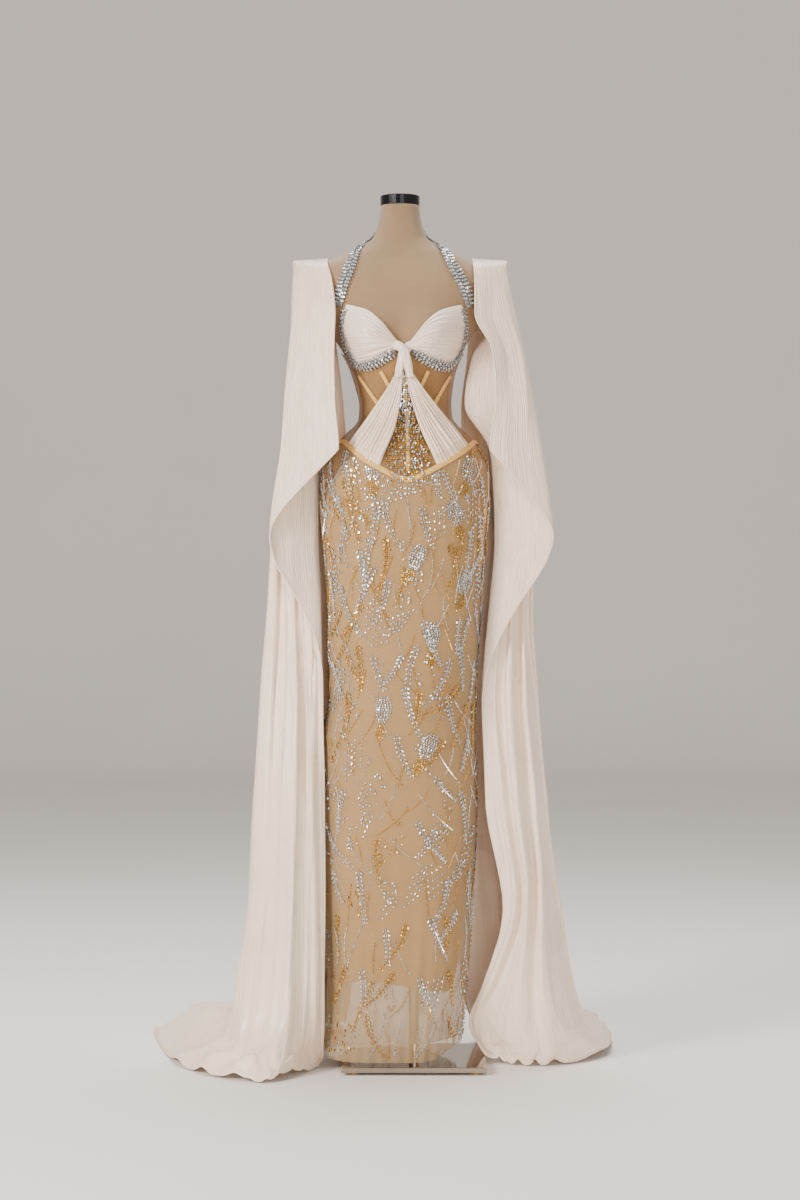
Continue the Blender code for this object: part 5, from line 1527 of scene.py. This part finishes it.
def floor_puffs(side, fold, level):
    """How far the train's loose cloth rises where it meets the floor: wide and narrow swells along the edge,
    each a raised cosine squared, and the round swells of the table."""
    near = ease((level - TRAIN_FROM_LEVEL) / TRAIN_LEVELS)
    phase = 0.35 * np.sin(2.1 * level + side) + 0.3 * np.sin(1.7 * fold)
    phase = phase + 0.45 * np.sin(2.9 * fold + 1.3 * side)
    high, often = TRAIN_WIDE
    rise = high * near * (0.5 + 0.5 * np.cos(2 * math.pi * (often * fold + phase))) ** 2
    high, often = TRAIN_NARROW
    patch = 0.5 + 0.5 * np.sin(2.3 * fold + side)
    rise = rise + high * near * patch * (0.5 + 0.5 * np.cos(2 * math.pi * (often * fold - 1.9 * phase))) ** 2
    for middle_fold, middle_level, fold_half, level_half, high in FLOOR_PUFFS[side]:
        away = ((fold - middle_fold) / fold_half) ** 2 + ((level - middle_level) / level_half) ** 2
        rise = rise + high * np.exp(-away)
    return rise


def shoulder_ridge(side):
    """The line at which the sheet lies over the shoulder, out along its front and back along its rear."""
    first, last = SLEEVE_FINE_STEPS[0], sum(SLEEVE_FINE_STEPS[-2:])
    reach = np.ones(sum(SLEEVE_FINE_STEPS) + 1)
    reach[: first + 1] = np.linspace(0, 1, first + 1)
    reach[-last - 1 :] = np.linspace(1, 0, last + 1)
    (inner_x, inner_z), (outer_x, outer_z) = RIDGE_ENDS
    x = side * (inner_x + (outer_x - inner_x) * reach)
    return np.stack([x, 0 * reach, inner_z + (outer_z - inner_z) * reach], -1)


def sleeve_surface(side, fold_depth):
    """A cape sleeve: the solid's sheet at a finer step, laid over the shoulder, with creases and small folds
    along its normals and the train's swells upwards."""
    fold = stepped(SLEEVE_FINE_STEPS)
    ends = column(SLEEVE_HEM_COLUMNS, SLEEVE_HEM_ROWS, "wearer_left" if side > 0 else "wearer_right")
    hem = np.interp(fold, column(SLEEVE_HEM_COLUMNS, SLEEVE_HEM_ROWS, "fold"), ends)
    level = np.minimum(stepped(SLEEVE_ROWS_PER_LEVEL)[:, None], hem[None, :])
    fold = fold[None, :] + 0 * level
    points = sleeve_point(side, fold, level)
    near = np.clip(1 - level, 0, 1)[..., None]
    points = points + near * (shoulder_ridge(side)[None] - points[:1])
    z = points[..., 2]
    out = crease_height(side, fold, z) + small_folds(side, fold, level, z, fold_depth)
    out = out * ease((z - 0.002) / 0.03 + 0.25)
    points = points + sleeve_normals(side, fold, np.maximum(level, 0.05)) * out[..., None]
    points[..., 2] = np.maximum(points[..., 2] + floor_puffs(side, fold, level), LOWEST_CLOTH_Z)
    return points


def sleeve_uv(points):
    """Metres along the widest level and down the longest fold, so that the crinkles run with the cloth."""
    level = len(points) * 3 // 5
    return np.stack(np.meshgrid(travelled(points[level]), travelled(points[:, -40])), -1)


def hem_path(points):
    """The sheet's free edge: down its first column, along its last row and up its last column."""
    path = np.concatenate([points[:-1, 0], points[-1], points[-2::-1, -1]])
    step = np.linalg.norm(np.diff(path, axis=0), axis=1)
    return path[np.concatenate([[True], step > 0.0004])]


# The outline of each stone shape, as six corners round its girdle, with its long way along the first number.
STONE_SHAPES = np.array(
    (
        ((0.5, 0.0), (0.16, 0.5), (-0.16, 0.5), (-0.5, 0.0), (-0.16, -0.5), (0.16, -0.5)),
        ((0.5, 0.0), (0.1, 0.36), (-0.36, 0.44), (-0.5, 0.0), (-0.36, -0.44), (0.1, -0.36)),
        ((0.5, 0.0), (0.25, 0.433), (-0.25, 0.433), (-0.5, 0.0), (-0.25, -0.433), (0.25, -0.433)),
    )
)
STONE_FACES = (
    (0, 6, 7, 1), (1, 7, 8, 2), (2, 8, 9, 3), (3, 9, 10, 4), (4, 10, 11, 5), (5, 11, 6, 0),
    (6, 9, 8, 7), (6, 11, 10, 9), (0, 1, 2, 3), (0, 3, 4, 5),
)
POINTED, PEAR, ROUND = 0, 1, 2


def add_painted_glints(made, glint_level, corners):
    """Keeps each facet's painted light, low for painted shade and high for a painted glint, in a colour
    attribute on all the corners of its face.
    """
    glint_level = np.repeat(glint_level, corners)
    colours = np.stack([glint_level, glint_level, glint_level, np.ones_like(glint_level)], -1).astype(np.float32)
    facets = made.data.color_attributes.new("painted_glint", "FLOAT_COLOR", "CORNER")
    facets.data.foreach_set("color", colours.ravel())


def stones(name, table, material, seed):
    """Faceted stones as one mesh: a six-sided girdle and a smaller table above it, along a row's direction.
    A row holds the point, the direction, the normal, the length, the width and the shape."""
    rng = np.random.default_rng(seed)
    centre, along, normal = table[:, :3], table[:, 3:6], table[:, 6:9]
    length, width, shape = table[:, 9], table[:, 10], table[:, 11].astype(int)
    count = len(table)
    normal = unit(normal + rng.normal(0.0, STONE_TILT, normal.shape))
    along = unit(along - np.sum(along * normal, -1, keepdims=True) * normal)
    across = np.cross(normal, along)
    girdle = STONE_SHAPES[shape] * np.stack([length, width], -1)[:, None]
    flat = np.concatenate([girdle, girdle * STONE_TABLE], 1)
    height = (width * STONE_HEIGHT)[:, None]
    rise = np.concatenate([np.repeat(STONE_GIRDLE * height, 6, 1), np.repeat(height, 6, 1)], 1)
    vertices = centre[:, None] + flat[..., :1] * along[:, None] + flat[..., 1:] * across[:, None]
    vertices = vertices + rise[..., None] * normal[:, None]
    faces = (np.array(STONE_FACES)[None] + 12 * np.arange(count)[:, None, None]).reshape(-1, 4)
    made = mesh_from(name, vertices, faces, np.zeros((faces.size, 2)), material, smooth=False)
    # Painted light: the six girdle sides get low values, painted shade, and the table and base get high ones,
    # painted glints. Each stone is dimmed by a share of its own.
    painted_glint = rng.uniform(0.0, 1.0, (count, len(STONE_FACES)))
    painted_glint[:, :6] = 0.40 * painted_glint[:, :6] ** 2
    painted_glint[:, 6:] = 0.80 + 0.20 * painted_glint[:, 6:]
    painted_glint = painted_glint * rng.uniform(0.7, 1.0, (count, 1))
    painted_glint[:, 7], painted_glint[:, 9] = painted_glint[:, 6], painted_glint[:, 8]
    add_painted_glints(made, painted_glint.reshape(-1), 4)
    return made


BEAD_CORNERS = np.array(((1, 0, 0), (0, 1, 0), (-1, 0, 0), (0, -1, 0), (0, 0, 1), (0, 0, -0.4)), float)
BEAD_FACES = np.array(
    ((0, 1, 4), (1, 2, 4), (2, 3, 4), (3, 0, 4), (1, 0, 5), (2, 1, 5), (3, 2, 5), (0, 3, 5))
)


def beads(name, table, material, seed):
    """Tiny cut beads as one mesh: eight-sided, each face with its own random painted glint. The rows are as
    for stones, with the radius in place of the length."""
    rng = np.random.default_rng(seed)
    along, normal, radius = table[:, 3:6], table[:, 6:9], table[:, 9]
    centre = table[:, :3] + normal * BEAD_LIFT
    along = unit(along - np.sum(along * normal, -1, keepdims=True) * normal)
    axes = np.stack([along, np.cross(normal, along), normal], 1)
    vertices = centre[:, None] + np.einsum("kc,ncd->nkd", BEAD_CORNERS, axes) * radius[:, None, None]
    faces = (BEAD_FACES[None] + 6 * np.arange(len(centre))[:, None, None]).reshape(-1, 3)
    made = mesh_from(name, vertices, faces, np.zeros((faces.size, 2)), material, smooth=False)
    # Painted glints: a random brightness on each face stands in for sparkle.
    add_painted_glints(made, rng.uniform(0.25, 1.0, len(faces)), 3)
    return made


def ornament(across, down, heading, length, width, shape, tone):
    """Rows of an ornament: place across and down, heading, length, width, shape and tone. Tone 0 is silver, 1
    is gold, and 2 and 3 are beads of the same two."""
    values = np.broadcast_arrays(across, down, heading, length, width, shape, tone)
    return np.stack(values, -1)


def leaf_spray(rng, length, bend, tone, size):
    """Pointed stones in pairs along a curved stem of beads, smaller towards its tip."""
    pairs = max(4, int(length / (0.80 * size)))
    share = (np.arange(pairs) + 0.5) / pairs
    across, down = bend * length * share**2, length * share
    heading = np.arctan2(2 * bend * share, 1.0)
    rows = []
    for side in (-1, 1):
        turn = heading + side * (0.72 + rng.uniform(-0.1, 0.1, pairs))
        long = size * (1.0 - 0.35 * share) * rng.uniform(0.85, 1.1, pairs)
        reach = 0.74 * long
        place = across + reach * np.sin(turn), down + reach * np.cos(turn)
        rows.append(ornament(*place, turn, long, 0.44 * long, POINTED, tone))
    return np.concatenate([*rows, bead_chain(length, bend, tone + 2)])


def bead_chain(length, bend, tone):
    """Small beads in a single curved line."""
    count = max(6, int(length / BEAD_STEP))
    share = (np.arange(count) + 0.5) / count
    return ornament(bend * length * share**2, length * share, 0.0, BEAD_RADIUS, 0.0, 0, tone)


def stone_cone(rng, length, tone, size):
    """A dense oval of pointed stones in staggered rows, wider in its middle."""
    rows = []
    steps = max(5, int(length / (0.55 * size)))
    for place, share in enumerate((np.arange(steps) + 0.5) / steps):
        half = 0.26 * length * math.sin(math.pi * (0.12 + 0.80 * share))
        count = max(2, int(2 * half / (0.52 * size)) + place % 2)
        offset = np.linspace(-half, half, count) + rng.uniform(-0.0006, 0.0006, count)
        turn = offset / max(half, 1e-4) * 0.5 + rng.uniform(-0.15, 0.15, count)
        rows.append(ornament(offset, share * length, turn, 0.85 * size, 0.42 * size, POINTED, tone))
    return np.concatenate(rows)


def stone_scatter(rng, length, tone, size):
    """Round and pear stones in loose rows across a narrow leaf shape."""
    count = max(8, int(length / 0.005))
    share = rng.uniform(0.04, 0.96, count)
    offset = rng.uniform(-1, 1, count) * 0.24 * length * np.sin(math.pi * share)
    shape = np.where(rng.uniform(0, 1, count) < 0.5, PEAR, ROUND)
    long = np.where(shape == PEAR, 0.72, 0.52) * size
    turn = rng.uniform(-0.5, 0.5, count)
    return ornament(offset, share * length, turn, long, 0.62 * long + 0.0008, shape, tone)


def stone_rain(rng, length, tone, size):
    """Slanted rows of pointed stones set apart, all turned one way."""
    lean = rng.choice((-0.55, 0.55))
    rows = []
    for offset in (-0.012, -0.004, 0.004, 0.012):
        count = int(rng.integers(4, 7))
        share = np.linspace(0, 1, count)
        across = offset + lean * length * 0.5 * share
        down = length * share + offset * 0.8
        turn = lean + rng.uniform(-0.15, 0.15, count)
        rows.append(ornament(across, down, turn, 0.82 * size, 0.34 * size, POINTED, tone))
    return np.concatenate(rows)


def turned_by(rows, angle):
    """An ornament's rows turned about its starting point."""
    c, s = math.cos(angle), math.sin(angle)
    across, down = rows[:, 0] * c + rows[:, 1] * s, rows[:, 1] * c - rows[:, 0] * s
    return np.column_stack([across, down, rows[:, 2] + angle, rows[:, 3:]])


def set_on_gown(rows, angle, z, out):
    """Ornament rows laid on the gown from a turn and a height: metres across, over the reach, are turn."""
    step, ahead_step = 0.004, 0.002
    reach = np.linalg.norm(gown_point(angle + step, z) - gown_point(angle - step, z)) / (2 * step)
    turn = angle + rows[:, 0] / reach
    height = z - rows[:, 1]
    here = gown_point(turn, height, out)
    ahead_turn = turn + ahead_step * np.sin(rows[:, 2]) / reach
    ahead = gown_point(ahead_turn, height - ahead_step * np.cos(rows[:, 2]), out)
    beside = gown_point(turn + step, height, out) - gown_point(turn - step, height, out)
    above = gown_point(turn, height + step, out) - gown_point(turn, height - step, out)
    normal = facing(unit(np.cross(beside, above)), here * LEVEL)
    return here, unit(ahead - here), normal, turn, height


def skirt_layout(rng, spray_rows, size):
    """Where each ornament goes: staggered rows down the skirt, nearer together at the hips, all round."""
    placed = []
    shares = (np.arange(spray_rows) / (spray_rows - 1)) ** 1.22
    for row, z in enumerate(SKIRT_TOP_Z - (SKIRT_TOP_Z - SKIRT_LOW_Z) * shares):
        dense = np.clip((z - 0.25) / 0.8, 0, 1)
        count = int(round(25 + 11 * dense))
        for place in range(count):
            angle = 2 * math.pi * (place + 0.5 * (row % 2) + rng.uniform(-0.18, 0.18)) / count
            kind = rng.uniform()
            tilt = rng.uniform(-0.5, 0.5)
            bend = rng.uniform(-0.5, 0.5)
            tone = int(rng.uniform() < 0.36)
            start = z + rng.uniform(-0.02, 0.02)
            span = rng.uniform(0.060, 0.105)
            if kind < 0.44:
                rows = leaf_spray(rng, span, bend, tone, size)
            elif kind < 0.44 + 0.10 * dense:
                cone = stone_cone(rng, CONE_LENGTH, 0, 0.8 * size)
                tuft = stone_cone(rng, TUFT_LENGTH, 1, 0.65 * size)
                tuft[:, 1] += CONE_LENGTH
                rows = np.concatenate([cone, tuft])
            elif kind < 0.68:
                rows = stone_scatter(rng, span, tone, size)
            elif kind < 0.80:
                rows = stone_rain(rng, 0.6 * span, 0, size)
            else:
                rows = bead_chain(span * 1.1, bend, 2 + tone)
            placed.append((turned_by(rows, tilt), angle, start))
            if rng.uniform() < 0.45 + 0.4 * dense:
                extra = bead_chain(0.8 * span, -bend, 3 - tone)
                placed.append((turned_by(extra, -tilt), angle + 0.5 / count * 2 * math.pi, start - 0.03))
    return placed


def bodice_layout(rng, size):
    """The strip of stones from the knot down between the streamers, dense at the top and looser below."""
    rows = []
    for z in np.arange(BODICE_TOP_Z, BODICE_LOW_Z, -BODICE_ROW_STEP):
        half = float(np.interp(z, [1.105, 1.140, 1.207, 1.261, 1.302], [0.030, 0.043, 0.017, 0.0085, 0.006]))
        dense = np.interp(z, [1.13, 1.20, 1.29], [0.60, 0.80, 1.0])
        gold = float(np.interp(z, [1.12, 1.20, 1.24], [0.45, 0.55, 0.08]))
        places = np.arange(-half, half + 1e-6, BODICE_STONE_STEP)
        for offset in places[rng.uniform(0, 1, len(places)) < dense]:
            shape = int(rng.choice((POINTED, POINTED, PEAR, ROUND)))
            long = size * rng.uniform(0.70, 1.05)
            across = offset + rng.uniform(-0.0012, 0.0012)
            heading = rng.uniform(-0.7, 0.7)
            wide = long * (0.8 if shape == ROUND else 0.5)
            rows.append((across, BODICE_TOP_Z - z, heading, long, wide, shape, rng.uniform() < gold))
    return np.array(rows, float)


def embroidery(sizes):
    """All the stones and beads of the gown, in rows as for stones with the tone at the end."""
    rng = np.random.default_rng(EMBROIDERY_SEED)
    found = []
    for rows, angle, z in skirt_layout(rng, sizes.spray_rows, sizes.stone_length):
        here, along, normal, turn, height = set_on_gown(rows, angle, z, STONES_OUT)
        keep = (height < seam_around(turn) - CLEAR_OF_EDGES) & (height > hem_around(turn) + CLEAR_OF_EDGES)
        found.append(np.column_stack([here, along, normal, rows[:, 3:]])[keep])
    rows = bodice_layout(rng, 0.8 * sizes.stone_length)
    _, along, normal, _, height = set_on_gown(rows, math.pi - 0.10, BODICE_TOP_Z, 0.0008)
    x = centre_line(height) + rows[:, 0]
    flat = np.stack([x, gown_front(x, height, BODICE_OUT), height], -1)
    found.append(np.column_stack([flat, along, normal, rows[:, 3:]]))
    return np.concatenate(found)


def braid_of_stones(path, outward, widths, spacing, seed):
    """A braid of leaf-set stones over a band: at each step pointed stones slant out to both sides, and round
    stones sit between them. The rows are as for stones."""
    rng = np.random.default_rng(seed)
    run = travelled(path)
    rows = np.arange(spacing / 2, run[-1] - spacing / 2, spacing)
    middle = np.stack([np.interp(rows, run, values) for values in path.T], -1)
    normal = np.stack([np.interp(rows, run, values) for values in outward.T], -1)
    width = np.interp(rows, run, widths)
    along, across, normal = path_frame(middle, unit(normal), False)
    found = []
    for side, lean, offset, share, slim, shape in BRAID_STONES:
        jitter = rng.uniform(-1, 1, (3, len(rows)))
        reach = (offset * side * width + 0.0006 * jitter[0])[:, None]
        slant = side * lean + 0.22 * jitter[1]
        heading = np.cos(slant)[:, None] * along + np.sin(slant)[:, None] * across
        shift = (0.25 * side * spacing + 0.0006 * jitter[2])[:, None]
        lift = 0.0015 if shape == ROUND else 0.0007
        centre = middle + across * reach + along * shift + normal * lift
        length = share * width * rng.uniform(0.9, 1.1, len(rows))
        shapes = np.full(len(rows), shape)
        found.append(np.column_stack([centre, heading, normal, length, slim * length, shapes]))
    return np.concatenate(found)


def cup_rim_path(side):
    """The trim's middle line, outward direction and width round a cup, at a fine step."""
    path, normal = cup_rim(side)
    shares = np.interp(np.linspace(0, 1, len(path)), [0, 0.35, 0.6, 1], [0.6, 0.7, 1.0, 1.0])
    return evened(path, normal, shares * CUP_TRIM_WIDTH, CUP_TRIM_STEPS)


def strap_path():
    """The strap's middle line, outward direction and width, from one cup round the nape to the other."""
    left, right = strap_side(1), strap_side(-1)
    whole = (np.concatenate([one, other[::-1][1:]]) for one, other in zip(left, right))
    return evened(*whole, STRAP_STEPS)


def studio_surface():
    """The floor and wall: level at the front, a quarter round of one metre, and an upright wall behind."""
    run = np.linspace(0, 1, 60)[:, None]
    floor_share, curve_share = 0.55, 0.20
    curve = np.clip((run - floor_share) / curve_share, 0, 1) * math.pi / 2
    upright = np.clip((run - floor_share - curve_share) / (1 - floor_share - curve_share), 0, 1)
    y = np.interp(run, [0.0, floor_share], STUDIO_FLOOR_Y) + np.sin(curve)
    z = 1.0 - np.cos(curve) + STUDIO_WALL_HEIGHT * upright
    return np.stack(np.broadcast_arrays(np.array([[-STUDIO_HALF_WIDTH, STUDIO_HALF_WIDTH]]), y, z), -1)


def level_outwards(edge):
    """Level directions away from the middle of a closed edge."""
    return unit((edge - edge.mean(0)) * LEVEL)


class GOWN_OT_dress_form(bpy.types.Operator):
    """Builds the linen dress form that the cloth rests on"""

    bl_idname = "gown.dress_form"
    bl_label = "Dress Form"

    def execute(self, context):
        form = surface("form_cover", form_surface(), finish("linen"), True, weld=FORM_WELD)
        settle_piece(form, "linen", "dress_form")
        return {"FINISHED"}


class GOWN_OT_stand(bpy.types.Operator):
    """Gives the plate, the pole, the pads and the neck cap their finishes"""

    bl_idname = "gown.stand"
    bl_label = "Stand"

    def execute(self, context):
        kinds = {"base_plate": "steel", "pole": "steel", "neck_cap": "cap", "pad_centre": "rubber"}
        kinds.update({f"pad_{number}": "rubber" for number in (1, 2, 3, 4)})
        for name, kind in kinds.items():
            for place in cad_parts[name].material_slots:
                place.material = finish(kind)
        return {"FINISHED"}


class GOWN_OT_skirt(bpy.types.Operator):
    """Builds the tulle skirt with its rolled hem, and the gold lining under it"""

    bl_idname = "gown.skirt"
    bl_label = "Skirt and Lining"

    def execute(self, context):
        points = lining_surface()
        lining = surface("lining_cloth", points, finish("lining"), True)
        settle_piece(lining, "lining", "skirt_lining")
        declare_cloth(points, True)
        edge = points[-1] + np.array([0.0, 0.0, LINING_HEM_LIFT])
        grid = cord_grid(edge, level_outwards(edge), LINING_HEM_RADIUS, True)
        settle_piece(surface("lining_hem", grid, finish("lining"), True), "lining")
        points = skirt_surface()
        skirt = surface("tulle_skirt", points, finish("tulle"), True)
        settle_piece(skirt, "tulle", "skirt")
        grid = cord_grid(points[-1], level_outwards(points[-1]), TULLE_HEM_RADIUS, True)
        hem = settle_piece(surface("tulle_hem", grid, finish("tulle"), True), "tulle")
        declare_cloth(points, True)
        return {"FINISHED"}


class GOWN_OT_corset(bpy.types.Operator):
    """Builds the sheer corset, its boning tapes and the bound V seam"""

    bl_idname = "gown.corset"
    bl_label = "Corset"

    def execute(self, context):
        points = corset_surface()
        corset = surface("corset_mesh", points, finish("mesh"), True)
        settle_piece(corset, "mesh", "corset")
        declare_cloth(points, True)
        for name, *ends in BONING_ROWS:
            grid = tape_grid(*boning_line(*ends), np.full(BONING_STEPS, BONING_WIDTH))
            tape = surface(f"{name}_tape", grid, finish("tape"), True, weld=WELD)
            settle_piece(tape, "tape", name)
        grid = tape_grid(*seam_binding(), np.full(BINDING_STEPS, BINDING_WIDTH), True)
        binding = surface("waist_tape", grid, finish("tape"), True, weld=WELD)
        settle_piece(binding, "tape", "waist_binding")
        return {"FINISHED"}


class GOWN_OT_cups(bpy.types.Operator):
    """Builds the pleated cups, the streamers and the knot"""

    bl_idname = "gown.cups"
    bl_label = "Cups, Streamers and Knot"

    def execute(self, context):
        sizes = context.scene.gown_sizes
        for name, side in SIDES.items():
            pleated = (
                ("cup", cup_surface(side, sizes.cup_pleats), "cup satin", "form_cover"),
                ("streamer", streamer_surface(side, sizes.streamer_pleats), "satin", "corset_mesh"),
            )
            for kind, points, cloth, under in pleated:
                made = surface(f"pleated_{kind}_{name}", points, finish(cloth), outward=(0.0, -1.0, 0.0))
                thicken(made, sizes.satin_wall)
                settle_piece(made, "satin", f"{kind}_{name}")
                declare_cloth(points)
        for name, side in (("over", -1), ("under", 1)):
            points = strand_surface(side)
            strand = surface(f"knot_strand_{name}", points, finish("cup satin"), True, weld=WELD)
            settle_piece(strand, "satin", "knot")
        return {"FINISHED"}


class GOWN_OT_cape_sleeves(bpy.types.Operator):
    """Builds the two floor-length cape sleeves with their rolled hems"""

    bl_idname = "gown.cape_sleeves"
    bl_label = "Cape Sleeves"

    def execute(self, context):
        sizes = context.scene.gown_sizes
        for name, side in SIDES.items():
            points = sleeve_surface(side, sizes.fine_folds)
            sleeve = surface(
                f"satin_cape_{name}", points, finish("satin"), outward=(0.0, 0.0, 0.0), weld=SHEET_WELD,
                uv=sleeve_uv(points),
            )
            thicken(sleeve, sizes.satin_wall)
            settle_piece(sleeve, "satin", f"cape_sleeve_{name}")
            path = hem_path(points)
            grid = cord_grid(path, unit(path - np.array([side * 0.20, 0.0, 0.7])), sizes.hem_radius)
            hem = settle_piece(surface(f"cape_hem_{name}", grid, finish("satin"), True, weld=WELD), "satin")
            declare_cloth(points)
        return {"FINISHED"}


class GOWN_OT_halter_strap(bpy.types.Operator):
    """Builds the crystal halter strap and the crystal trim of the cups"""

    bl_idname = "gown.halter_strap"
    bl_label = "Halter Strap and Cup Trim"

    def execute(self, context):
        sizes = context.scene.gown_sizes
        bands = [("strap", "halter_strap", strap_path(), sizes.strap_braid)]
        for name, side in SIDES.items():
            bands.append((f"trim_{name}", f"cup_trim_{name}", cup_rim_path(side), sizes.trim_braid))
        for seed, (name, node, (path, outward, widths), spread) in enumerate(bands):
            grid = tape_grid(path, outward, widths, crown=0.0)
            backing = surface(f"{name}_backing", grid, finish("backing"), True, weld=WELD)
            settle_piece(backing, "tape", node)
            table = braid_of_stones(path, outward, widths * spread, sizes.braid_step, seed)
            settle_piece(stones(f"{name}_stones", table, finish("silver"), seed), "crystal")
        return {"FINISHED"}


class GOWN_OT_embroidery(bpy.types.Operator):
    """Sets the stones and beads of the skirt and the bodice in sprays of their own design"""

    bl_idname = "gown.embroidery"
    bl_label = "Embroidery"

    def execute(self, context):
        table = embroidery(context.scene.gown_sizes)
        tone = table[:, 12].astype(int)
        for number, kind in enumerate(("silver", "gold")):
            made = stones(f"{kind}_stones", table[tone == number], finish(kind), 10 + number)
            settle_piece(made, "crystal")
            made = beads(f"{kind}_beads", table[tone == number + 2], finish(kind), 20 + number)
            settle_piece(made, "crystal")
        return {"FINISHED"}


def area_light(name, at, aim, size, power, colour):
    """A soft rectangular lamp that faces a point."""
    lamp = bpy.data.lights.new(name, "AREA")
    lamp.shape = "RECTANGLE"
    lamp.size, lamp.size_y = size
    lamp.energy = power
    lamp.color = colour
    made = bpy.data.objects.new(name, lamp)
    made.location = at
    direction = Vector(aim) - Vector(at)
    made.rotation_euler = direction.to_track_quat("-Z", "Y").to_euler()
    bpy.context.scene.collection.objects.link(made)
    return made


class GOWN_OT_stage(bpy.types.Operator):
    """Sets up the pale floor, the soft lights and the camera"""

    bl_idname = "gown.stage"
    bl_label = "Stage"

    def execute(self, context):
        settings = context.scene.gown_stage
        material = floor_material(settings.floor_colour)
        floor = surface("studio_floor", studio_surface(), material, outward=(0.0, -1.0, 1.0))
        for name, at, aim_z, size, colour in LIGHTS:
            power = settings.key_power if name == "key_light" else settings.fill_power
            area_light(name, at, (0.0, 0.0, aim_z), size, power, colour)
        room = bpy.data.worlds.new("studio room")
        room.use_nodes = True
        background = room.node_tree.nodes["Background"]
        background.inputs["Color"].default_value = (1.0, 0.965, 0.93, 1.0)
        background.inputs["Strength"].default_value = settings.world_strength
        context.scene.world = room
        camera = bpy.data.cameras.new("photo_camera")
        camera.lens = settings.lens
        camera.sensor_width = 36.0
        eye = bpy.data.objects.new("photo_camera", camera)
        eye.location = (GOWN_CENTRE_X, -settings.camera_distance, settings.camera_height)
        eye.rotation_euler = (math.radians(90), 0, 0)
        context.scene.collection.objects.link(eye)
        context.scene.camera = eye
        return {"FINISHED"}


class GOWN_PT_panel(bpy.types.Panel):
    """Lists the gown's settings and the buttons that build its pieces"""

    bl_label = "Halter Gown"
    bl_idname = "GOWN_PT_panel"
    bl_space_type = "VIEW_3D"
    bl_region_type = "UI"
    bl_category = "Halter Gown"

    def draw(self, context):
        for group in (context.scene.gown_sizes, context.scene.gown_colours, context.scene.gown_stage):
            for name in group.bl_rna.properties.keys():
                if name not in ("rna_type", "name"):
                    self.layout.prop(group, name)
        for step in STEPS:
            self.layout.operator(step.bl_idname)


STEPS = (
    GOWN_OT_dress_form,
    GOWN_OT_stand,
    GOWN_OT_corset,
    GOWN_OT_skirt,
    GOWN_OT_cups,
    GOWN_OT_cape_sleeves,
    GOWN_OT_halter_strap,
    GOWN_OT_embroidery,
    GOWN_OT_stage,
)
CLASSES = (GownSizes, GownColours, StageSettings, *STEPS, GOWN_PT_panel)


def register():
    """Registers the settings, the operators and the panel."""
    for each in CLASSES:
        bpy.utils.register_class(each)
    bpy.types.Scene.gown_sizes = bpy.props.PointerProperty(type=GownSizes)
    bpy.types.Scene.gown_colours = bpy.props.PointerProperty(type=GownColours)
    bpy.types.Scene.gown_stage = bpy.props.PointerProperty(type=StageSettings)


def unregister():
    """Removes the settings, the operators and the panel."""
    for name in ("gown_sizes", "gown_colours", "gown_stage"):
        delattr(bpy.types.Scene, name)
    for each in reversed(CLASSES):
        bpy.utils.unregister_class(each)


def main():
    """Registers the settings and builds every piece in order."""
    register()
    for step in STEPS:
        group, name = step.bl_idname.split(".")
        if getattr(getattr(bpy.ops, group), name)() != {"FINISHED"}:
            raise RuntimeError(f"{step.bl_label} wasn't built")


if __name__ == "__main__":
    main()
